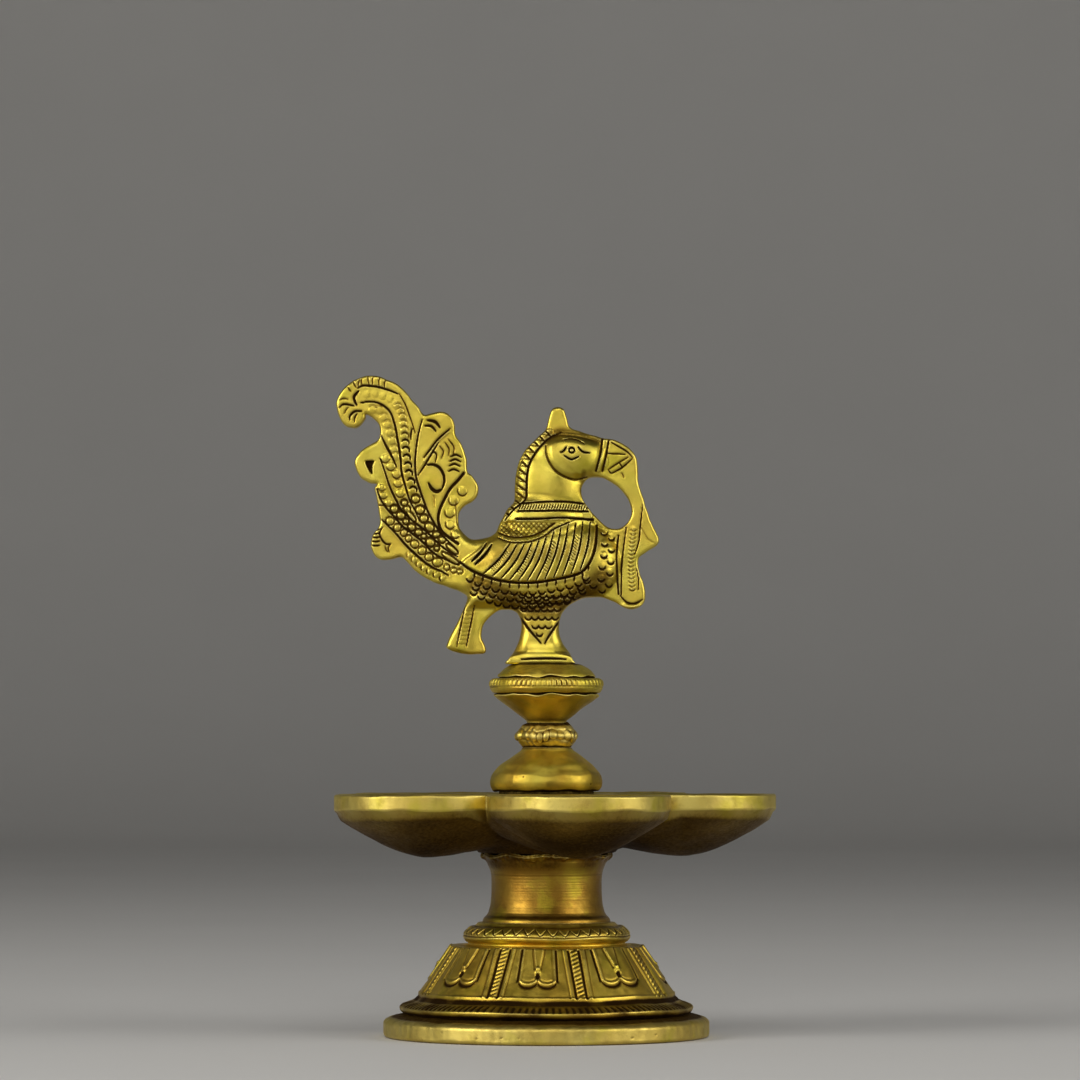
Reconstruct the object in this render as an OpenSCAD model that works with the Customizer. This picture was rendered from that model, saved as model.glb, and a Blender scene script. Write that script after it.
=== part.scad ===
// Brass standing oil lamp (samai) with five oil wells and a peacock finial.
// The origin is at the centre of the foot ring's underside, +Z is up, the front is towards -Y
// and the peacock looks towards +X.

/* [Pedestal] */
// Outer radius of the foot ring
foot_r = 37.5; // [36:0.1:39]
// Height of the foot ring where the bell stands on it
foot_h = 5.3; // [4.8:0.1:5.8]
// Radius of the rope moulding at the bottom of the bell
rope_r = 33.8; // [33.2:0.1:34.4]
// Radius of the panelled cone at its top
cone_top_r = 21.9; // [21:0.1:23]
// Radius of the zigzag collar
collar_r = 19.4; // [19:0.1:20.2]
// Height of the bell's top, where the neck stands
bell_top = 26.3; // [26:0.1:26.6]
// Wall of the hollow bell
bell_wall = 2.4; // [1.8:0.1:3]

/* [Neck] */
// Radius of the straight part of the neck
neck_r = 12.8; // [12:0.1:13.5]
// Radius of the flange under the tray
flange_r = 15; // [14.5:0.1:15.5]
// Height of the flange's top, where the tray rests
flange_top = 42.3; // [41.9:0.1:42.6]

/* [Tray] */
// Number of oil wells
lobes = 5; // [3:1:5]
// Angle of the first lobe from +X
lobe_turn = -77; // [-90:1:-60]
// Distance from the lamp's axis to the middle of a lobe
lobe_pitch_r = 32.3; // [31.5:0.1:33]
// Outer radius of a lobe
lobe_r = 20.7; // [20:0.1:21.5]
// Width of the rim round a well
rim_w = 2.5; // [2:0.1:3]
// Height of the rim's bright vertical face
rim_h = 3.6; // [3:0.1:4]
// Height of the rim's top and of the hub
rim_top = 55.8; // [55.5:0.1:56]
// Lowest point of a lobe's underside
lobe_bottom = 41.5; // [41:0.1:42]
// Thickness of the metal under a well
well_floor = 2.5; // [2:0.1:3.5]

/* [Finial] */
// Thickness of the washer under the bell
washer_t = 0.6; // [0.5:0.1:0.8]
// Radius of the plain bell
bell_r = 12.9; // [12.4:0.1:13.4]
// Greatest radius of the fluted knop
knop_r = 7.3; // [7:0.1:8]
// Greatest radius of the beaded disc
disc_r = 13.2; // [12.8:0.1:13.8]
// Height of the cap's flat top, where the peacock stands
cap_top = 85.7; // [85.4:0.1:86]

/* [Tie stud] */
// Radius of the stud that holds the lamp together
stud_r = 3; // [2.6:0.1:3.2]
// Radial clearance of every hole that the stud turns in
running_gap = 0.06; // [0.03:0.01:0.09]
// Height of the stud's lower end, inside the neck
stud_bottom = 31; // [30:0.5:33]

/* [Peacock] */
// Thickness of the fan tail
tail_t = 4.6; // [4:0.1:6]
// Thickness of the strand that hangs from the beak
strand_t = 4; // [3:0.1:5]
// Thickness of the neck, the pillar and the edge of the body
trunk_t = 8; // [7:0.1:9]
// Radius of the rounded belly, half of the bird's greatest thickness
belly_r = 7.2; // [6.5:0.1:8]

/* [Hidden] */

$fn = 96;
old_brass = [0.62, 0.50, 0.16];
red_brass = [0.66, 0.46, 0.24];
dark_brass = [0.42, 0.30, 0.08];
lip_gap = 0.05;
lip_r = foot_r - 7.5;
finial_z = rim_top + washer_t;
knop_z = 66.5;
disc_z = 72.1;
stud_top = disc_z + 7;
tenon_r = 2.5;
tenon_l = 4.5;
over = 1;

// ---------------------------------------------------------------- helpers

// Points of an arc from angle a0 to a1, both ends included
function arc(cx, cy, r, a0, a1, n = 6) =
    [for (i = [0:n]) let (a = a0 + (a1 - a0) * i / n) [cx + r * cos(a), cy + r * sin(a)]];

// One point of the smooth curve that passes through four neighbours
function between(p0, p1, p2, p3, t) =
    0.5 * (2 * p1 + (p2 - p0) * t + (2 * p0 - 5 * p1 + 4 * p2 - p3) * t * t
    + (3 * p1 - p0 - 3 * p2 + p3) * t * t * t);

// Closed smooth curve through points, with a number of steps between neighbours
function smooth(points, steps = 3) =
    let (n = len(points))
    [for (i = [0:n - 1], k = [0:steps - 1])
        between(points[(i + n - 1) % n], points[i], points[(i + 1) % n], points[(i + 2) % n], k / steps)];

// Solid of revolution from an outline of [radius, height] points
module turned(outline) {
    rotate_extrude() polygon(outline);
}

// Upright plate of thickness t, centred on y = 0, from an outline of [x, z] points
module upright_plate(outline, t) {
    translate([0, t / 2, 0]) rotate([90, 0, 0]) linear_extrude(t) polygon(outline);
}

// Plate whose faces are set in from the edge, as a filed casting
module filed_plate(outline, t, inset = 0.7) {
    upright_plate(outline, t - 2 * inset);
    translate([0, t / 2, 0]) rotate([90, 0, 0]) linear_extrude(t) offset(delta = -inset) polygon(outline);
}

// Straight hole along the lamp's axis
module axial_hole(r, z0, z1) {
    translate([0, 0, z0]) cylinder(r = r, h = z1 - z0);
}

// --------------------------------------------------------------- pedestal

module foot_ring() {
    edge = 0.8;
    color(old_brass)
    turned(concat(
        [[lip_r, 0]],
        arc(foot_r - edge, edge, edge, -90, 0),
        [[foot_r, foot_h - 1.7], [foot_r - edge, foot_h - 0.9], [lip_r + 2.5, foot_h], [lip_r, foot_h]]
    ));
}

module pedestal_bell() {
    seat_r = lip_r + 2.5;
    rope_z = foot_h + 1.7;
    cone_foot = [29.7, foot_h + 3.5];
    cone_head = [cone_top_r, bell_top - 5.5];
    collar_z = bell_top - 3.1;
    groove_r = 18;
    plate = 3;
    skirt_r = cone_foot[0] - bell_wall;
    lip_z = foot_h - 2.5;
    color(old_brass)
    difference() {
        turned(concat(
            [[0, lip_z], [lip_r - lip_gap, lip_z], [lip_r - lip_gap, foot_h], [seat_r, foot_h]],
            [[seat_r, foot_h + 0.7]],
            arc(rope_r - 1, rope_z, 1, -80, 80),
            [[31, foot_h + 3], cone_foot, cone_head, [groove_r, bell_top - 5]],
            arc(collar_r - 1.7, collar_z, 1.7, -75, 75),
            [[15.8, bell_top - 0.6], [15.8, bell_top], [0, bell_top]]
        ));
        turned([
            [0, lip_z - over], [skirt_r, lip_z - over], [skirt_r, cone_foot[1]],
            [groove_r - bell_wall, cone_head[1] - 1], [groove_r - bell_wall - 1.5, bell_top - plate],
            [0, bell_top - plate]
        ]);
        axial_hole(8, bell_top - plate - over, bell_top + over);
    }
}

module pedestal_neck() {
    spigot_r = 8 - lip_gap;
    spigot_z = bell_top - 3.8;
    color(red_brass)
    difference() {
        turned(concat(
            [[0, spigot_z], [spigot_r, spigot_z], [spigot_r, bell_top], [14.8, bell_top]],
            [[14.3, bell_top + 1]],
            [for (i = [1:5]) let (t = i / 5) [14.3 - (14.3 - neck_r) * sin(90 * t), bell_top + 1 + 3.9 * t]],
            [[neck_r, flange_top - 4.6], [flange_r - 0.7, flange_top - 1.3]],
            [[flange_r, flange_top - 0.9], [flange_r, flange_top], [0, flange_top]]
        ));
        axial_hole(stud_r + running_gap, stud_bottom - 1.5, flange_top + over);
    }
}

// ------------------------------------------------------------------- tray

// Directions round the tray at which its surface is worked out, a multiple of the number of lobes
tray_n = lobes * 16;
// Rings of the underside from the seat out to the rim
under_m = 7;
// Rings across a well
well_m = 6;
seat_r = flange_r + 0.5;
well_r = lobe_r - rim_w;
hub_r = 12;

// Angle of direction i from the middle of its own lobe
function off_lobe(i) = let (a = (i * 360 / tray_n) % (360 / lobes)) a > 180 / lobes ? a - 360 / lobes : a;

// Distance from a lobe's middle of the point at radius r, a degrees off
function lobe_d(r, a) = sqrt(r * r + pow(lobe_pitch_r, 2) - 2 * r * lobe_pitch_r * cos(a));

// How much that point lies on the lobe's hub side, from 0 to 1
function inward(r, a) = max(0, lobe_pitch_r - r * cos(a)) / max(0.1, lobe_d(r, a));

// Half of the chord that direction a cuts from a circle of radius c round the lobe's middle
function half_chord(c, a) = sqrt(max(0.2, c * c - pow(lobe_pitch_r * sin(a), 2)));

// Radius of the tray's rim in direction a
function rim_radius(a) = lobe_pitch_r * cos(a) + half_chord(lobe_r, a);

// Height of the underside: bowls that are straighter near the rim and flatter on the hub side
function bowl_z(d) = lobe_bottom + 9.1 * pow(d / 20, 1.55);
function hub_z(r) = flange_top + 0.5 * pow(max(0, r - seat_r), 1.3);
function under_z(r, a) =
    min(hub_z(r), bowl_z(lobe_d(r, a) * (1 - 0.5 * inward(r, a))), rim_top - rim_h);

// Height of the top: flat land at the rim and the hub, and a scoop in each lobe, steep on the hub side
function top_z(r, a) =
    let (t = min(1, lobe_d(r, a) / well_r), deep = lobe_bottom + well_floor)
    deep + (rim_top - deep) * pow(t, 1.9 + 1.3 * inward(r, a));

// The whole skin as rings from the hub's underside, round the rim, to the hub's top
function under_ring(t) = [
    for (i = [0:tray_n - 1]) let (a = off_lobe(i), r = seat_r + (rim_radius(a) - seat_r) * t)
    [r, t == 0 ? flange_top : t == 1 ? rim_top - rim_h : under_z(r, a)]
];
function well_ring(t) = [
    for (i = [0:tray_n - 1]) let (a = off_lobe(i), r = lobe_pitch_r * cos(a) - half_chord(well_r, a) * t)
    [r, abs(t) == 1 ? rim_top : top_z(r, a)]
];
function level_ring(edge) = [for (i = [0:tray_n - 1]) [edge ? rim_radius(off_lobe(i)) : hub_r, rim_top]];

module tray_blank() {
    rings = concat(
        [for (j = [0:under_m]) under_ring(j / under_m)],
        [level_ring(true)],
        [for (j = [-well_m:2:well_m]) well_ring(j / well_m)],
        [level_ring(false)]
    );
    last = len(rings) - 1;
    points = [
        for (ring = rings, i = [0:tray_n - 1]) let (turn = lobe_turn + i * 360 / tray_n)
        [ring[i][0] * cos(turn), ring[i][0] * sin(turn), ring[i][1]]
    ];
    bands = [
        for (j = [0:last - 1], i = [0:tray_n - 1])
        let (k = (i + 1) % tray_n, low = j * tray_n, high = low + tray_n)
        each [[low + i, high + k, low + k], [low + i, high + i, high + k]]
    ];
    seat = [for (i = [0:tray_n - 1]) i];
    lid = [for (i = [tray_n - 1:-1:0]) last * tray_n + i];
    polyhedron(points, concat([seat], bands, [lid]));
}

module oil_tray() {
    color(old_brass)
    difference() {
        tray_blank();
        axial_hole(stud_r + running_gap, flange_top - over, rim_top + over);
    }
}

// ----------------------------------------------------------------- finial

module hub_washer() {
    color(dark_brass)
    difference() {
        axial_hole(bell_r - 1.9, rim_top, finial_z);
        axial_hole(stud_r + running_gap, rim_top - over, finial_z + over);
    }
}

module tie_stud() {
    tip = 0.6;
    color(red_brass)
    turned([
        [0, stud_bottom], [stud_r - tip, stud_bottom], [stud_r, stud_bottom + tip],
        [stud_r, stud_top - tip], [stud_r - tip, stud_top], [0, stud_top]
    ]);
}

module finial_bell() {
    shoulder = finial_z + 3.7;
    color(old_brass)
    difference() {
        turned(concat(
            [[0, finial_z]],
            arc(bell_r - 0.9, finial_z + 0.9, 0.9, -90, 0),
            [[bell_r, shoulder - 0.6], [bell_r - 0.5, shoulder + 0.2]],
            [[bell_r - 1.2, shoulder + 1.3], [bell_r - 2.4, shoulder + 2.4], [bell_r - 3.9, shoulder + 3.5]],
            [[bell_r - 5.4, shoulder + 4.6], [6.3, knop_z - 1], [5.8, knop_z - 0.4]],
            [[5.8, knop_z], [0, knop_z]]
        ));
        axial_hole(stud_r, finial_z - over, knop_z + over);
    }
}

module beaded_knop() {
    waist = 5.8;
    color(old_brass)
    difference() {
        turned(concat(
            [[0, knop_z], [waist, knop_z], [waist + 0.6, knop_z + 1]],
            arc(knop_r - 1.3, knop_z + 2.4, 1.3, -50, 50),
            [[waist + 0.5, knop_z + 4.1], [waist - 0.3, knop_z + 5.2], [waist - 0.4, disc_z], [0, disc_z]]
        ));
        axial_hole(stud_r, knop_z - over, disc_z + over);
    }
}

module beaded_disc() {
    cone_top = 78.3;
    bead_z = 80.7;
    color(old_brass)
    difference() {
        turned(concat(
            [[0, disc_z], [5.3, disc_z], [8.2, cone_top - 3.4], [12, cone_top], [11.9, cone_top + 0.5]],
            arc(disc_r - 1.5, bead_z, 1.5, -80, 80),
            [[11.6, cap_top - 3.2], [12, cap_top - 2.9], [11.2, cap_top - 1.7], [9.9, cap_top - 0.8]],
            [[7.9, cap_top], [0, cap_top]]
        ));
        axial_hole(stud_r, disc_z - over, stud_top);
        axial_hole(tenon_r, cap_top - tenon_l, cap_top + over);
    }
}

// ---------------------------------------------------------------- peacock

// Curled fan tail, from the curl's inner end clockwise to the left flap
tail_line = [
    [-43.5, 140.5], [-46, 140.3], [-48.6, 146], [-47.5, 149], [-44.3, 151.6], [-40.5, 152.4], [-37, 151.3],
    [-31, 146.6], [-28.3, 143.4], [-25.5, 143.8], [-22.3, 142.8], [-21, 138.6], [-18.8, 135], [-18.2, 130],
    [-16, 127.5], [-16.3, 124], [-19.8, 121.4], [-20.3, 118.5], [-18.5, 115], [-13, 114], [-10, 106],
    [-15, 101.5], [-19.5, 102.5], [-26.2, 104.7], [-30.6, 107.4], [-33.8, 110.2], [-38.7, 110],
    [-40.5, 113.5], [-38.7, 117.6], [-38.7, 121], [-39.4, 126.5], [-43.5, 129.8], [-44, 133],
    [-42, 135.6], [-39.3, 137], [-38.4, 139.5], [-39.4, 142], [-41.6, 143]
];

// Beak, strand and the strand's leaf, back along the chest
strand_line = [
    [6, 139.8], [12.8, 138.2], [17.9, 136.5], [20.6, 134], [21.4, 127.3], [22.5, 123.8], [24.1, 118.7],
    [26, 114], [21.6, 110.4], [21.4, 107], [22.6, 103.5], [22.6, 99.8], [20, 98.5], [16.5, 99.5],
    [12, 101.2], [6, 103], [2, 112], [4, 128]
];

// Opening between the neck and the strand
loop_line = [
    [10, 128.6], [13, 128.7], [16, 127.1], [18.4, 124.5], [19.6, 121.5], [18.9, 118.4], [16.3, 116.9],
    [13.6, 117.6], [10.6, 120.6], [8.6, 123.4], [8.2, 126.2]
];

// Breast, neck and back of the head
trunk_line = [
    [-10, 116.5], [-9.2, 121.4], [-7.4, 123.5], [-7.3, 127], [-6.6, 131.5], [-4.8, 135], [-2, 138],
    [1, 139.5], [5, 139.8], [8.5, 138], [10, 133], [8.6, 129], [8, 125.5], [8.6, 122.8],
    [11.2, 119.6], [13.6, 115], [12.8, 107], [8.5, 101.5], [3.5, 98.6], [-8, 98.4], [-14, 101], [-18, 106],
    [-17, 112.6]
];

crest_line = [[-1.5, 136], [0.5, 142], [1.5, 144.6], [2.8, 145.1], [4.1, 144.5], [5.4, 140], [6.5, 136]];

pillar_line = [
    [-6.6, 100], [-5.8, 95.5], [-6, 92.5], [-7.2, 89.3], [-8.9, 86.6], [-9, 85.7], [6.2, 85.7], [6.1, 86.6],
    [4.9, 88.9], [3.3, 91.4], [2.9, 94], [3.5, 100]
];

flap_line = [
    [-9.5, 98.6], [-12, 97.5], [-14.3, 95], [-15, 92.2], [-13.7, 89], [-14.6, 88.1], [-19, 88.1],
    [-22.8, 89.1], [-22.8, 90.6], [-19.8, 97], [-18, 102], [-12, 103]
];

module peacock() {
    pillar_mid = -1.4;
    color(old_brass) {
        filed_plate(smooth(tail_line), tail_t);
        difference() {
            filed_plate(smooth(strand_line), strand_t);
            upright_plate(smooth(loop_line), strand_t + 2 * over);
        }
        filed_plate(smooth(trunk_line), trunk_t, 1.2);
        filed_plate(smooth(flap_line), strand_t + 1);
        upright_plate(smooth(crest_line), strand_t);
        upright_plate(pillar_line, trunk_t);
        // Rounded belly and breast
        hull($fn = 32) {
            translate([-11, 0, 107.5]) sphere(r = belly_r - 2.2);
            translate([-2, 0, 107.5]) sphere(r = belly_r);
            translate([4.5, 0, 109.5]) sphere(r = belly_r - 0.7);
        }
        // Rounded head
        hull($fn = 32) {
            translate([2.5, 0, 134.3]) sphere(r = trunk_t / 2 + 0.8);
            translate([9, 0, 133.6]) sphere(r = trunk_t / 2 - 0.4);
        }
        // Tenon in the cap
        translate([0, 0, cap_top - tenon_l + 0.3]) cylinder(r = tenon_r - lip_gap, h = tenon_l + 1);
        translate([pillar_mid, 0, cap_top]) cylinder(r = trunk_t / 2, h = 3);
    }
}

foot_ring();
pedestal_bell();
pedestal_neck();
oil_tray();
hub_washer();
tie_stud();
finial_bell();
beaded_knop();
beaded_disc();
peacock();
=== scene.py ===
import math

import bpy
import numpy as np
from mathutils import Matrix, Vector


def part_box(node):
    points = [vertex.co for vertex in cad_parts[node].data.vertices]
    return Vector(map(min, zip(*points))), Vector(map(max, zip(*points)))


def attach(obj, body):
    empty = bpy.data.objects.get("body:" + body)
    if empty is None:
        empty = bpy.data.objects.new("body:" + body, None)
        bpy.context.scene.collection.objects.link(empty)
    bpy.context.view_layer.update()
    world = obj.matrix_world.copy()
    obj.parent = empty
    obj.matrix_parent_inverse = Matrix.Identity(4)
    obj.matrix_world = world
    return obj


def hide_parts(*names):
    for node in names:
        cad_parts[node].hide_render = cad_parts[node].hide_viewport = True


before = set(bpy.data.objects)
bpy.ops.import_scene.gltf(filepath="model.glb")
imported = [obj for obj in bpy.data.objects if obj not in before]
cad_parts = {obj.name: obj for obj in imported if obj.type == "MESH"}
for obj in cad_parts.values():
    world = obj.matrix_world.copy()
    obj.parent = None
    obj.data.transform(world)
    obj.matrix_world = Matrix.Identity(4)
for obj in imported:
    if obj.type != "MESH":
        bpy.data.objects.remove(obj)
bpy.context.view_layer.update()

MM = 0.001


def corners(node):
    """Lowest and highest corner of a CAD node, in millimetres."""
    low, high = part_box(node)
    return np.array(low) / MM, np.array(high) / MM


STUD_R = corners("tie_stud")[1][0]
STUD_HOLE_R = STUD_R + 0.06  # the stud turns in the neck, the tray and the washer
SPIGOT_R, SPIGOT_HOLE_R = 7.95, 8.0  # the neck's press fit in the bell
TENON_R, SOCKET_R = 2.42, 2.5  # the peacock's pin in the disc's cap

# ------------------------------------------------------------------ numbers


def smoothstep(low, high, value):
    """0 below low, 1 above high, and a smooth turn between."""
    t = np.clip((value - low) / (high - low), 0, 1)
    return t * t * (3 - 2 * t)


def bump(value, centre, half):
    """1 at centre, falling smoothly to 0 at the distance half on both sides of it."""
    return 1 - smoothstep(0, half, np.abs(value - centre))


def angles(count):
    """Angles of a number of equal steps round a full turn."""
    return np.arange(count) * 2 * math.pi / count


def waves(points, length, seed, count=14):
    """Smooth random value of about -1 to 1 at each point, with waves of about that length."""
    rng = np.random.default_rng(seed)
    total = 0
    for _ in range(count):
        way = rng.normal(size=points.shape[-1])
        way *= 2 * math.pi / (length * rng.uniform(0.7, 1.8) * np.linalg.norm(way))
        total = total + np.sin(points @ way + rng.uniform(0, 2 * math.pi))
    return total / math.sqrt(count)


def round_waves(phi, turns, seed, count=5):
    """Smooth random value of about -1 to 1 round the lamp, with about that many waves a turn."""
    rng = np.random.default_rng(seed)
    total = 0
    for _ in range(count):
        whole = max(1, round(turns * rng.uniform(0.5, 1.5)))
        total = total + np.sin(whole * phi + rng.uniform(0, 2 * math.pi))
    return total / math.sqrt(count)


def curve(points, closed=False, steps=6):
    """Smooth curve through points, with a number of steps between neighbours."""
    p = np.array(points, float)
    n = len(p)
    out = []
    for i in range(n if closed else n - 1):
        if closed:
            a, b, c, d = (p[(i + k) % n] for k in (-1, 0, 1, 2))
        else:
            a, b, c, d = (p[min(max(i + k, 0), n - 1)] for k in (-1, 0, 1, 2))
        for t in np.arange(steps) / steps:
            out.append(
                0.5 * (2 * b + (c - a) * t + (2 * a - 5 * b + 4 * c - d) * t * t
                       + (3 * b - a - 3 * c + d) * t ** 3)
            )
    if not closed:
        out.append(p[-1])
    return np.array(out)


def along(line, t):
    """Point a share t of the way along a line of points."""
    line = np.asarray(line, float)
    run = np.concatenate([[0], np.cumsum(np.linalg.norm(np.diff(line, axis=0), axis=1))])
    return np.stack([np.interp(t * run[-1], run, line[:, k]) for k in range(line.shape[1])], -1)


def rounded(points, step):
    """Line from [r, z, fillet] corners, with round fillets and points no further apart than step."""
    p = np.array([q[:2] for q in points], float)
    out = [p[0]]
    for i in range(1, len(p) - 1):
        back, ahead = p[i - 1] - p[i], p[i + 1] - p[i]
        long_back, long_ahead = np.linalg.norm(back), np.linalg.norm(ahead)
        back, ahead = back / long_back, ahead / long_ahead
        reach = min(points[i][2], long_back * 0.48, long_ahead * 0.48)
        start, end = p[i] + back * reach, p[i] + ahead * reach
        for t in (0, 0.25, 0.5, 0.75, 1):
            out.append((1 - t) ** 2 * start + 2 * t * (1 - t) * p[i] + t * t * end)
    out.append(p[-1])
    fine = [out[0]]
    for a, b in zip(out[:-1], out[1:]):
        length = np.linalg.norm(b - a)
        if length < 1e-6:
            continue
        n = max(1, math.ceil(length / step))
        fine += [a + (b - a) * k / n for k in range(1, n + 1)]
    return np.array(fine)


def closed_outline(step, seen, hidden_step, hidden=()):
    """Outline along its seen corners in short steps, and back by its hidden ones in long steps."""
    back = [seen[-1], *hidden, seen[0]]
    return np.concatenate([rounded(seen, step), rounded(back, hidden_step)])


# ------------------------------------------------------------------- meshes


def wear_and_highlight(mesh):
    """How sharply the surface bends outward at each point, per millimetre: high on edges and beads."""
    points = np.empty(len(mesh.vertices) * 3, np.float32)
    mesh.vertices.foreach_get("co", points)
    normals = np.empty(len(mesh.vertices) * 3, np.float32)
    mesh.vertex_normals.foreach_get("vector", normals)
    ends = np.empty(len(mesh.edges) * 2, np.int32)
    mesh.edges.foreach_get("vertices", ends)
    points, normals = points.reshape(-1, 3) / MM, normals.reshape(-1, 3)
    a, b = ends[0::2], ends[1::2]
    along_edge = points[b] - points[a]
    length = np.maximum(np.sum(along_edge ** 2, axis=1), 1e-6)
    bend = np.sum((normals[b] - normals[a]) * along_edge, axis=1) / length
    both = np.concatenate([a, b])
    total = np.bincount(both, np.concatenate([bend, bend]), len(points))
    return total / np.maximum(1, np.bincount(both, minlength=len(points)))


def make_mesh(name, points, faces, grime=None):
    """Smooth-shaded object from points in millimetres, arrays of faces, and the grime and painted shade at
    each point.
    """
    mesh = bpy.data.meshes.new(name)
    mesh.vertices.add(len(points))
    mesh.vertices.foreach_set("co", (np.asarray(points, np.float32) * MM).ravel())
    sizes = np.concatenate([np.full(len(f), f.shape[1]) for f in faces])
    loops = np.concatenate([f.ravel() for f in faces]).astype(np.int32)
    mesh.loops.add(len(loops))
    mesh.loops.foreach_set("vertex_index", loops)
    mesh.polygons.add(len(sizes))
    mesh.polygons.foreach_set("loop_start", np.concatenate([[0], np.cumsum(sizes)[:-1]]).astype(np.int32))
    mesh.update(calc_edges=True)
    mesh.polygons.foreach_set("use_smooth", np.ones(len(sizes), bool))
    if grime is not None:
        layer = mesh.attributes.new("grime", "FLOAT", "POINT")
        layer.data.foreach_set("value", np.clip(grime, 0, 1).astype(np.float32).ravel())
        layer = mesh.attributes.new("wear_and_highlight", "FLOAT", "POINT")
        layer.data.foreach_set("value", wear_and_highlight(mesh).astype(np.float32))
    mesh.update()
    piece = bpy.data.objects.new(name, mesh)
    bpy.context.scene.collection.objects.link(piece)
    return piece


def ring_faces(rings, count, closed=False):
    """Quads between neighbouring rings of count points each."""
    i = np.arange(rings if closed else rings - 1)[:, None]
    j = np.arange(count)[None, :]
    low, high = i * count, ((i + 1) % rings) * count
    after = (j + 1) % count
    return np.stack([low + j, low + after, high + after, high + j], -1).reshape(-1, 4)


def fan(count, base, tip):
    """Triangles from a ring of points, numbered from base on, to a single point."""
    j = np.arange(count)
    return np.stack([base + j, base + (j + 1) % count, 0 * j + tip], -1)


def lathe(name, outline, count, shape):
    """Piece of revolution from a closed [r, z] outline, with its hand work from a function.

    shape(r, z, phi, places) gives how far the surface swells out, how far it is lifted and how dark
    it is. Noise made from places meets itself after a turn.
    """
    outline = np.asarray(outline, float)
    outline = outline[np.linalg.norm(outline - np.roll(outline, 1, axis=0), axis=1) > 1e-6]
    tangent = np.roll(outline, -1, 0) - np.roll(outline, 1, 0)
    normal = np.stack([tangent[:, 1], -tangent[:, 0]], -1)
    normal /= np.maximum(np.linalg.norm(normal, axis=1, keepdims=True), 1e-9)
    r, z = outline[:, 0], outline[:, 1]
    area = np.sum(r * np.roll(z, -1) - np.roll(r, -1) * z)
    normal *= math.copysign(1, area)
    r, z, phi = r[:, None], z[:, None], angles(count)[None, :]
    places = np.stack([r * np.sin(phi), r * np.cos(phi)], -1)
    swell, lift, grime = shape(r, z, phi, places)
    radius = r + normal[:, :1] * swell + 0 * phi
    height = z + normal[:, 1:] * swell + lift + 0 * phi
    points = np.stack([radius * np.sin(phi), -radius * np.cos(phi), height], -1)
    faces = ring_faces(len(outline), count, closed=True)
    if area < 0:
        faces = faces[:, ::-1]
    return make_mesh(name, points.reshape(-1, 3), [faces], grime + 0 * radius)


def spots(phi, z, r, count, z_range, size, seed):
    """Small round casting pits scattered over a turned face: 1 inside a pit and 0 elsewhere."""
    rng = np.random.default_rng(seed)
    total = 0 * phi * z
    for _ in range(count):
        at, high, wide = rng.uniform(0, 2 * math.pi), rng.uniform(*z_range), size * rng.uniform(0.5, 1.4)
        across = (np.mod(phi - at + math.pi, 2 * math.pi) - math.pi) * r
        total = np.maximum(total, 1 - smoothstep(0.3, 1, np.hypot(across, z - high) / wide))
    return total


def facets(phi, r, count, seed):
    """How far a hand-filed round face lies inside its circle, from flats of uneven width."""
    rng = np.random.default_rng(seed)
    edges = np.cumsum(rng.uniform(0.6, 1.4, count))
    edges = np.concatenate([[0], edges / edges[-1] * 2 * math.pi])
    turned = np.mod(phi, 2 * math.pi)
    k = np.clip(np.searchsorted(edges, turned, side="right") - 1, 0, count - 1)
    middle, half = (edges[k] + edges[k + 1]) / 2, (edges[k + 1] - edges[k]) / 2
    return r * (1 - np.cos(half) / np.cos(turned - middle))


# ---------------------------------------------------------------- materials


class Nodes:
    """Short way to build a material's node tree."""

    def __init__(self, name):
        self.material = bpy.data.materials.new(name)
        self.material.use_nodes = True
        self.tree = self.material.node_tree
        self.shader = self.tree.nodes["Principled BSDF"]
        self.place = self.add("ShaderNodeTexCoord").outputs["Object"]

    def add(self, kind, inputs=None, **settings):
        """New node, with its inputs by name and its settings."""
        node = self.tree.nodes.new(kind)
        for key, value in settings.items():
            setattr(node, key, value)
        for key, value in (inputs or {}).items():
            self.feed(node.inputs[key], value)
        return node

    def feed(self, socket, value):
        """Links a socket to another node's socket, or sets it to a plain value."""
        if isinstance(value, bpy.types.NodeSocket):
            self.tree.links.new(value, socket)
        else:
            socket.default_value = value

    def noise(self, scale, detail=3.0, roughness=0.55, vector=None):
        """Smooth noise, with its scale in waves a metre."""
        inputs = {"Scale": scale, "Detail": detail, "Roughness": roughness}
        inputs["Vector"] = vector or self.place
        return self.add("ShaderNodeTexNoise", inputs).outputs["Fac"]

    def math(self, operation, a, b):
        """One arithmetic step on two values."""
        return self.add("ShaderNodeMath", {0: a, 1: b}, operation=operation).outputs[0]

    def span(self, value, low, high, to_low=0.0, to_high=1.0):
        """Value with its range from low to high stretched to another range, and clipped there."""
        inputs = {"Value": value, "From Min": low, "From Max": high, "To Min": to_low, "To Max": to_high}
        return self.add("ShaderNodeMapRange", inputs).outputs[0]

    def mix(self, factor, a, b):
        """Colour a, passing over to colour b as the factor goes from 0 to 1."""
        node = self.add("ShaderNodeMix", data_type="RGBA")
        self.feed(node.inputs["Factor"], factor)
        self.feed(node.inputs[6], a)
        self.feed(node.inputs[7], b)
        return node.outputs[2]

    def bump(self, strength, distance, height, below=None):
        """Normal bent by a height map, on top of the normal below it."""
        inputs = {"Strength": strength, "Distance": distance, "Height": height}
        if below:
            inputs["Normal"] = below
        return self.add("ShaderNodeBump", inputs).outputs["Normal"]

    def attribute(self, name):
        """A value that the mesh carries at its points."""
        return self.add("ShaderNodeAttribute", attribute_name=name).outputs["Fac"]


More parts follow.
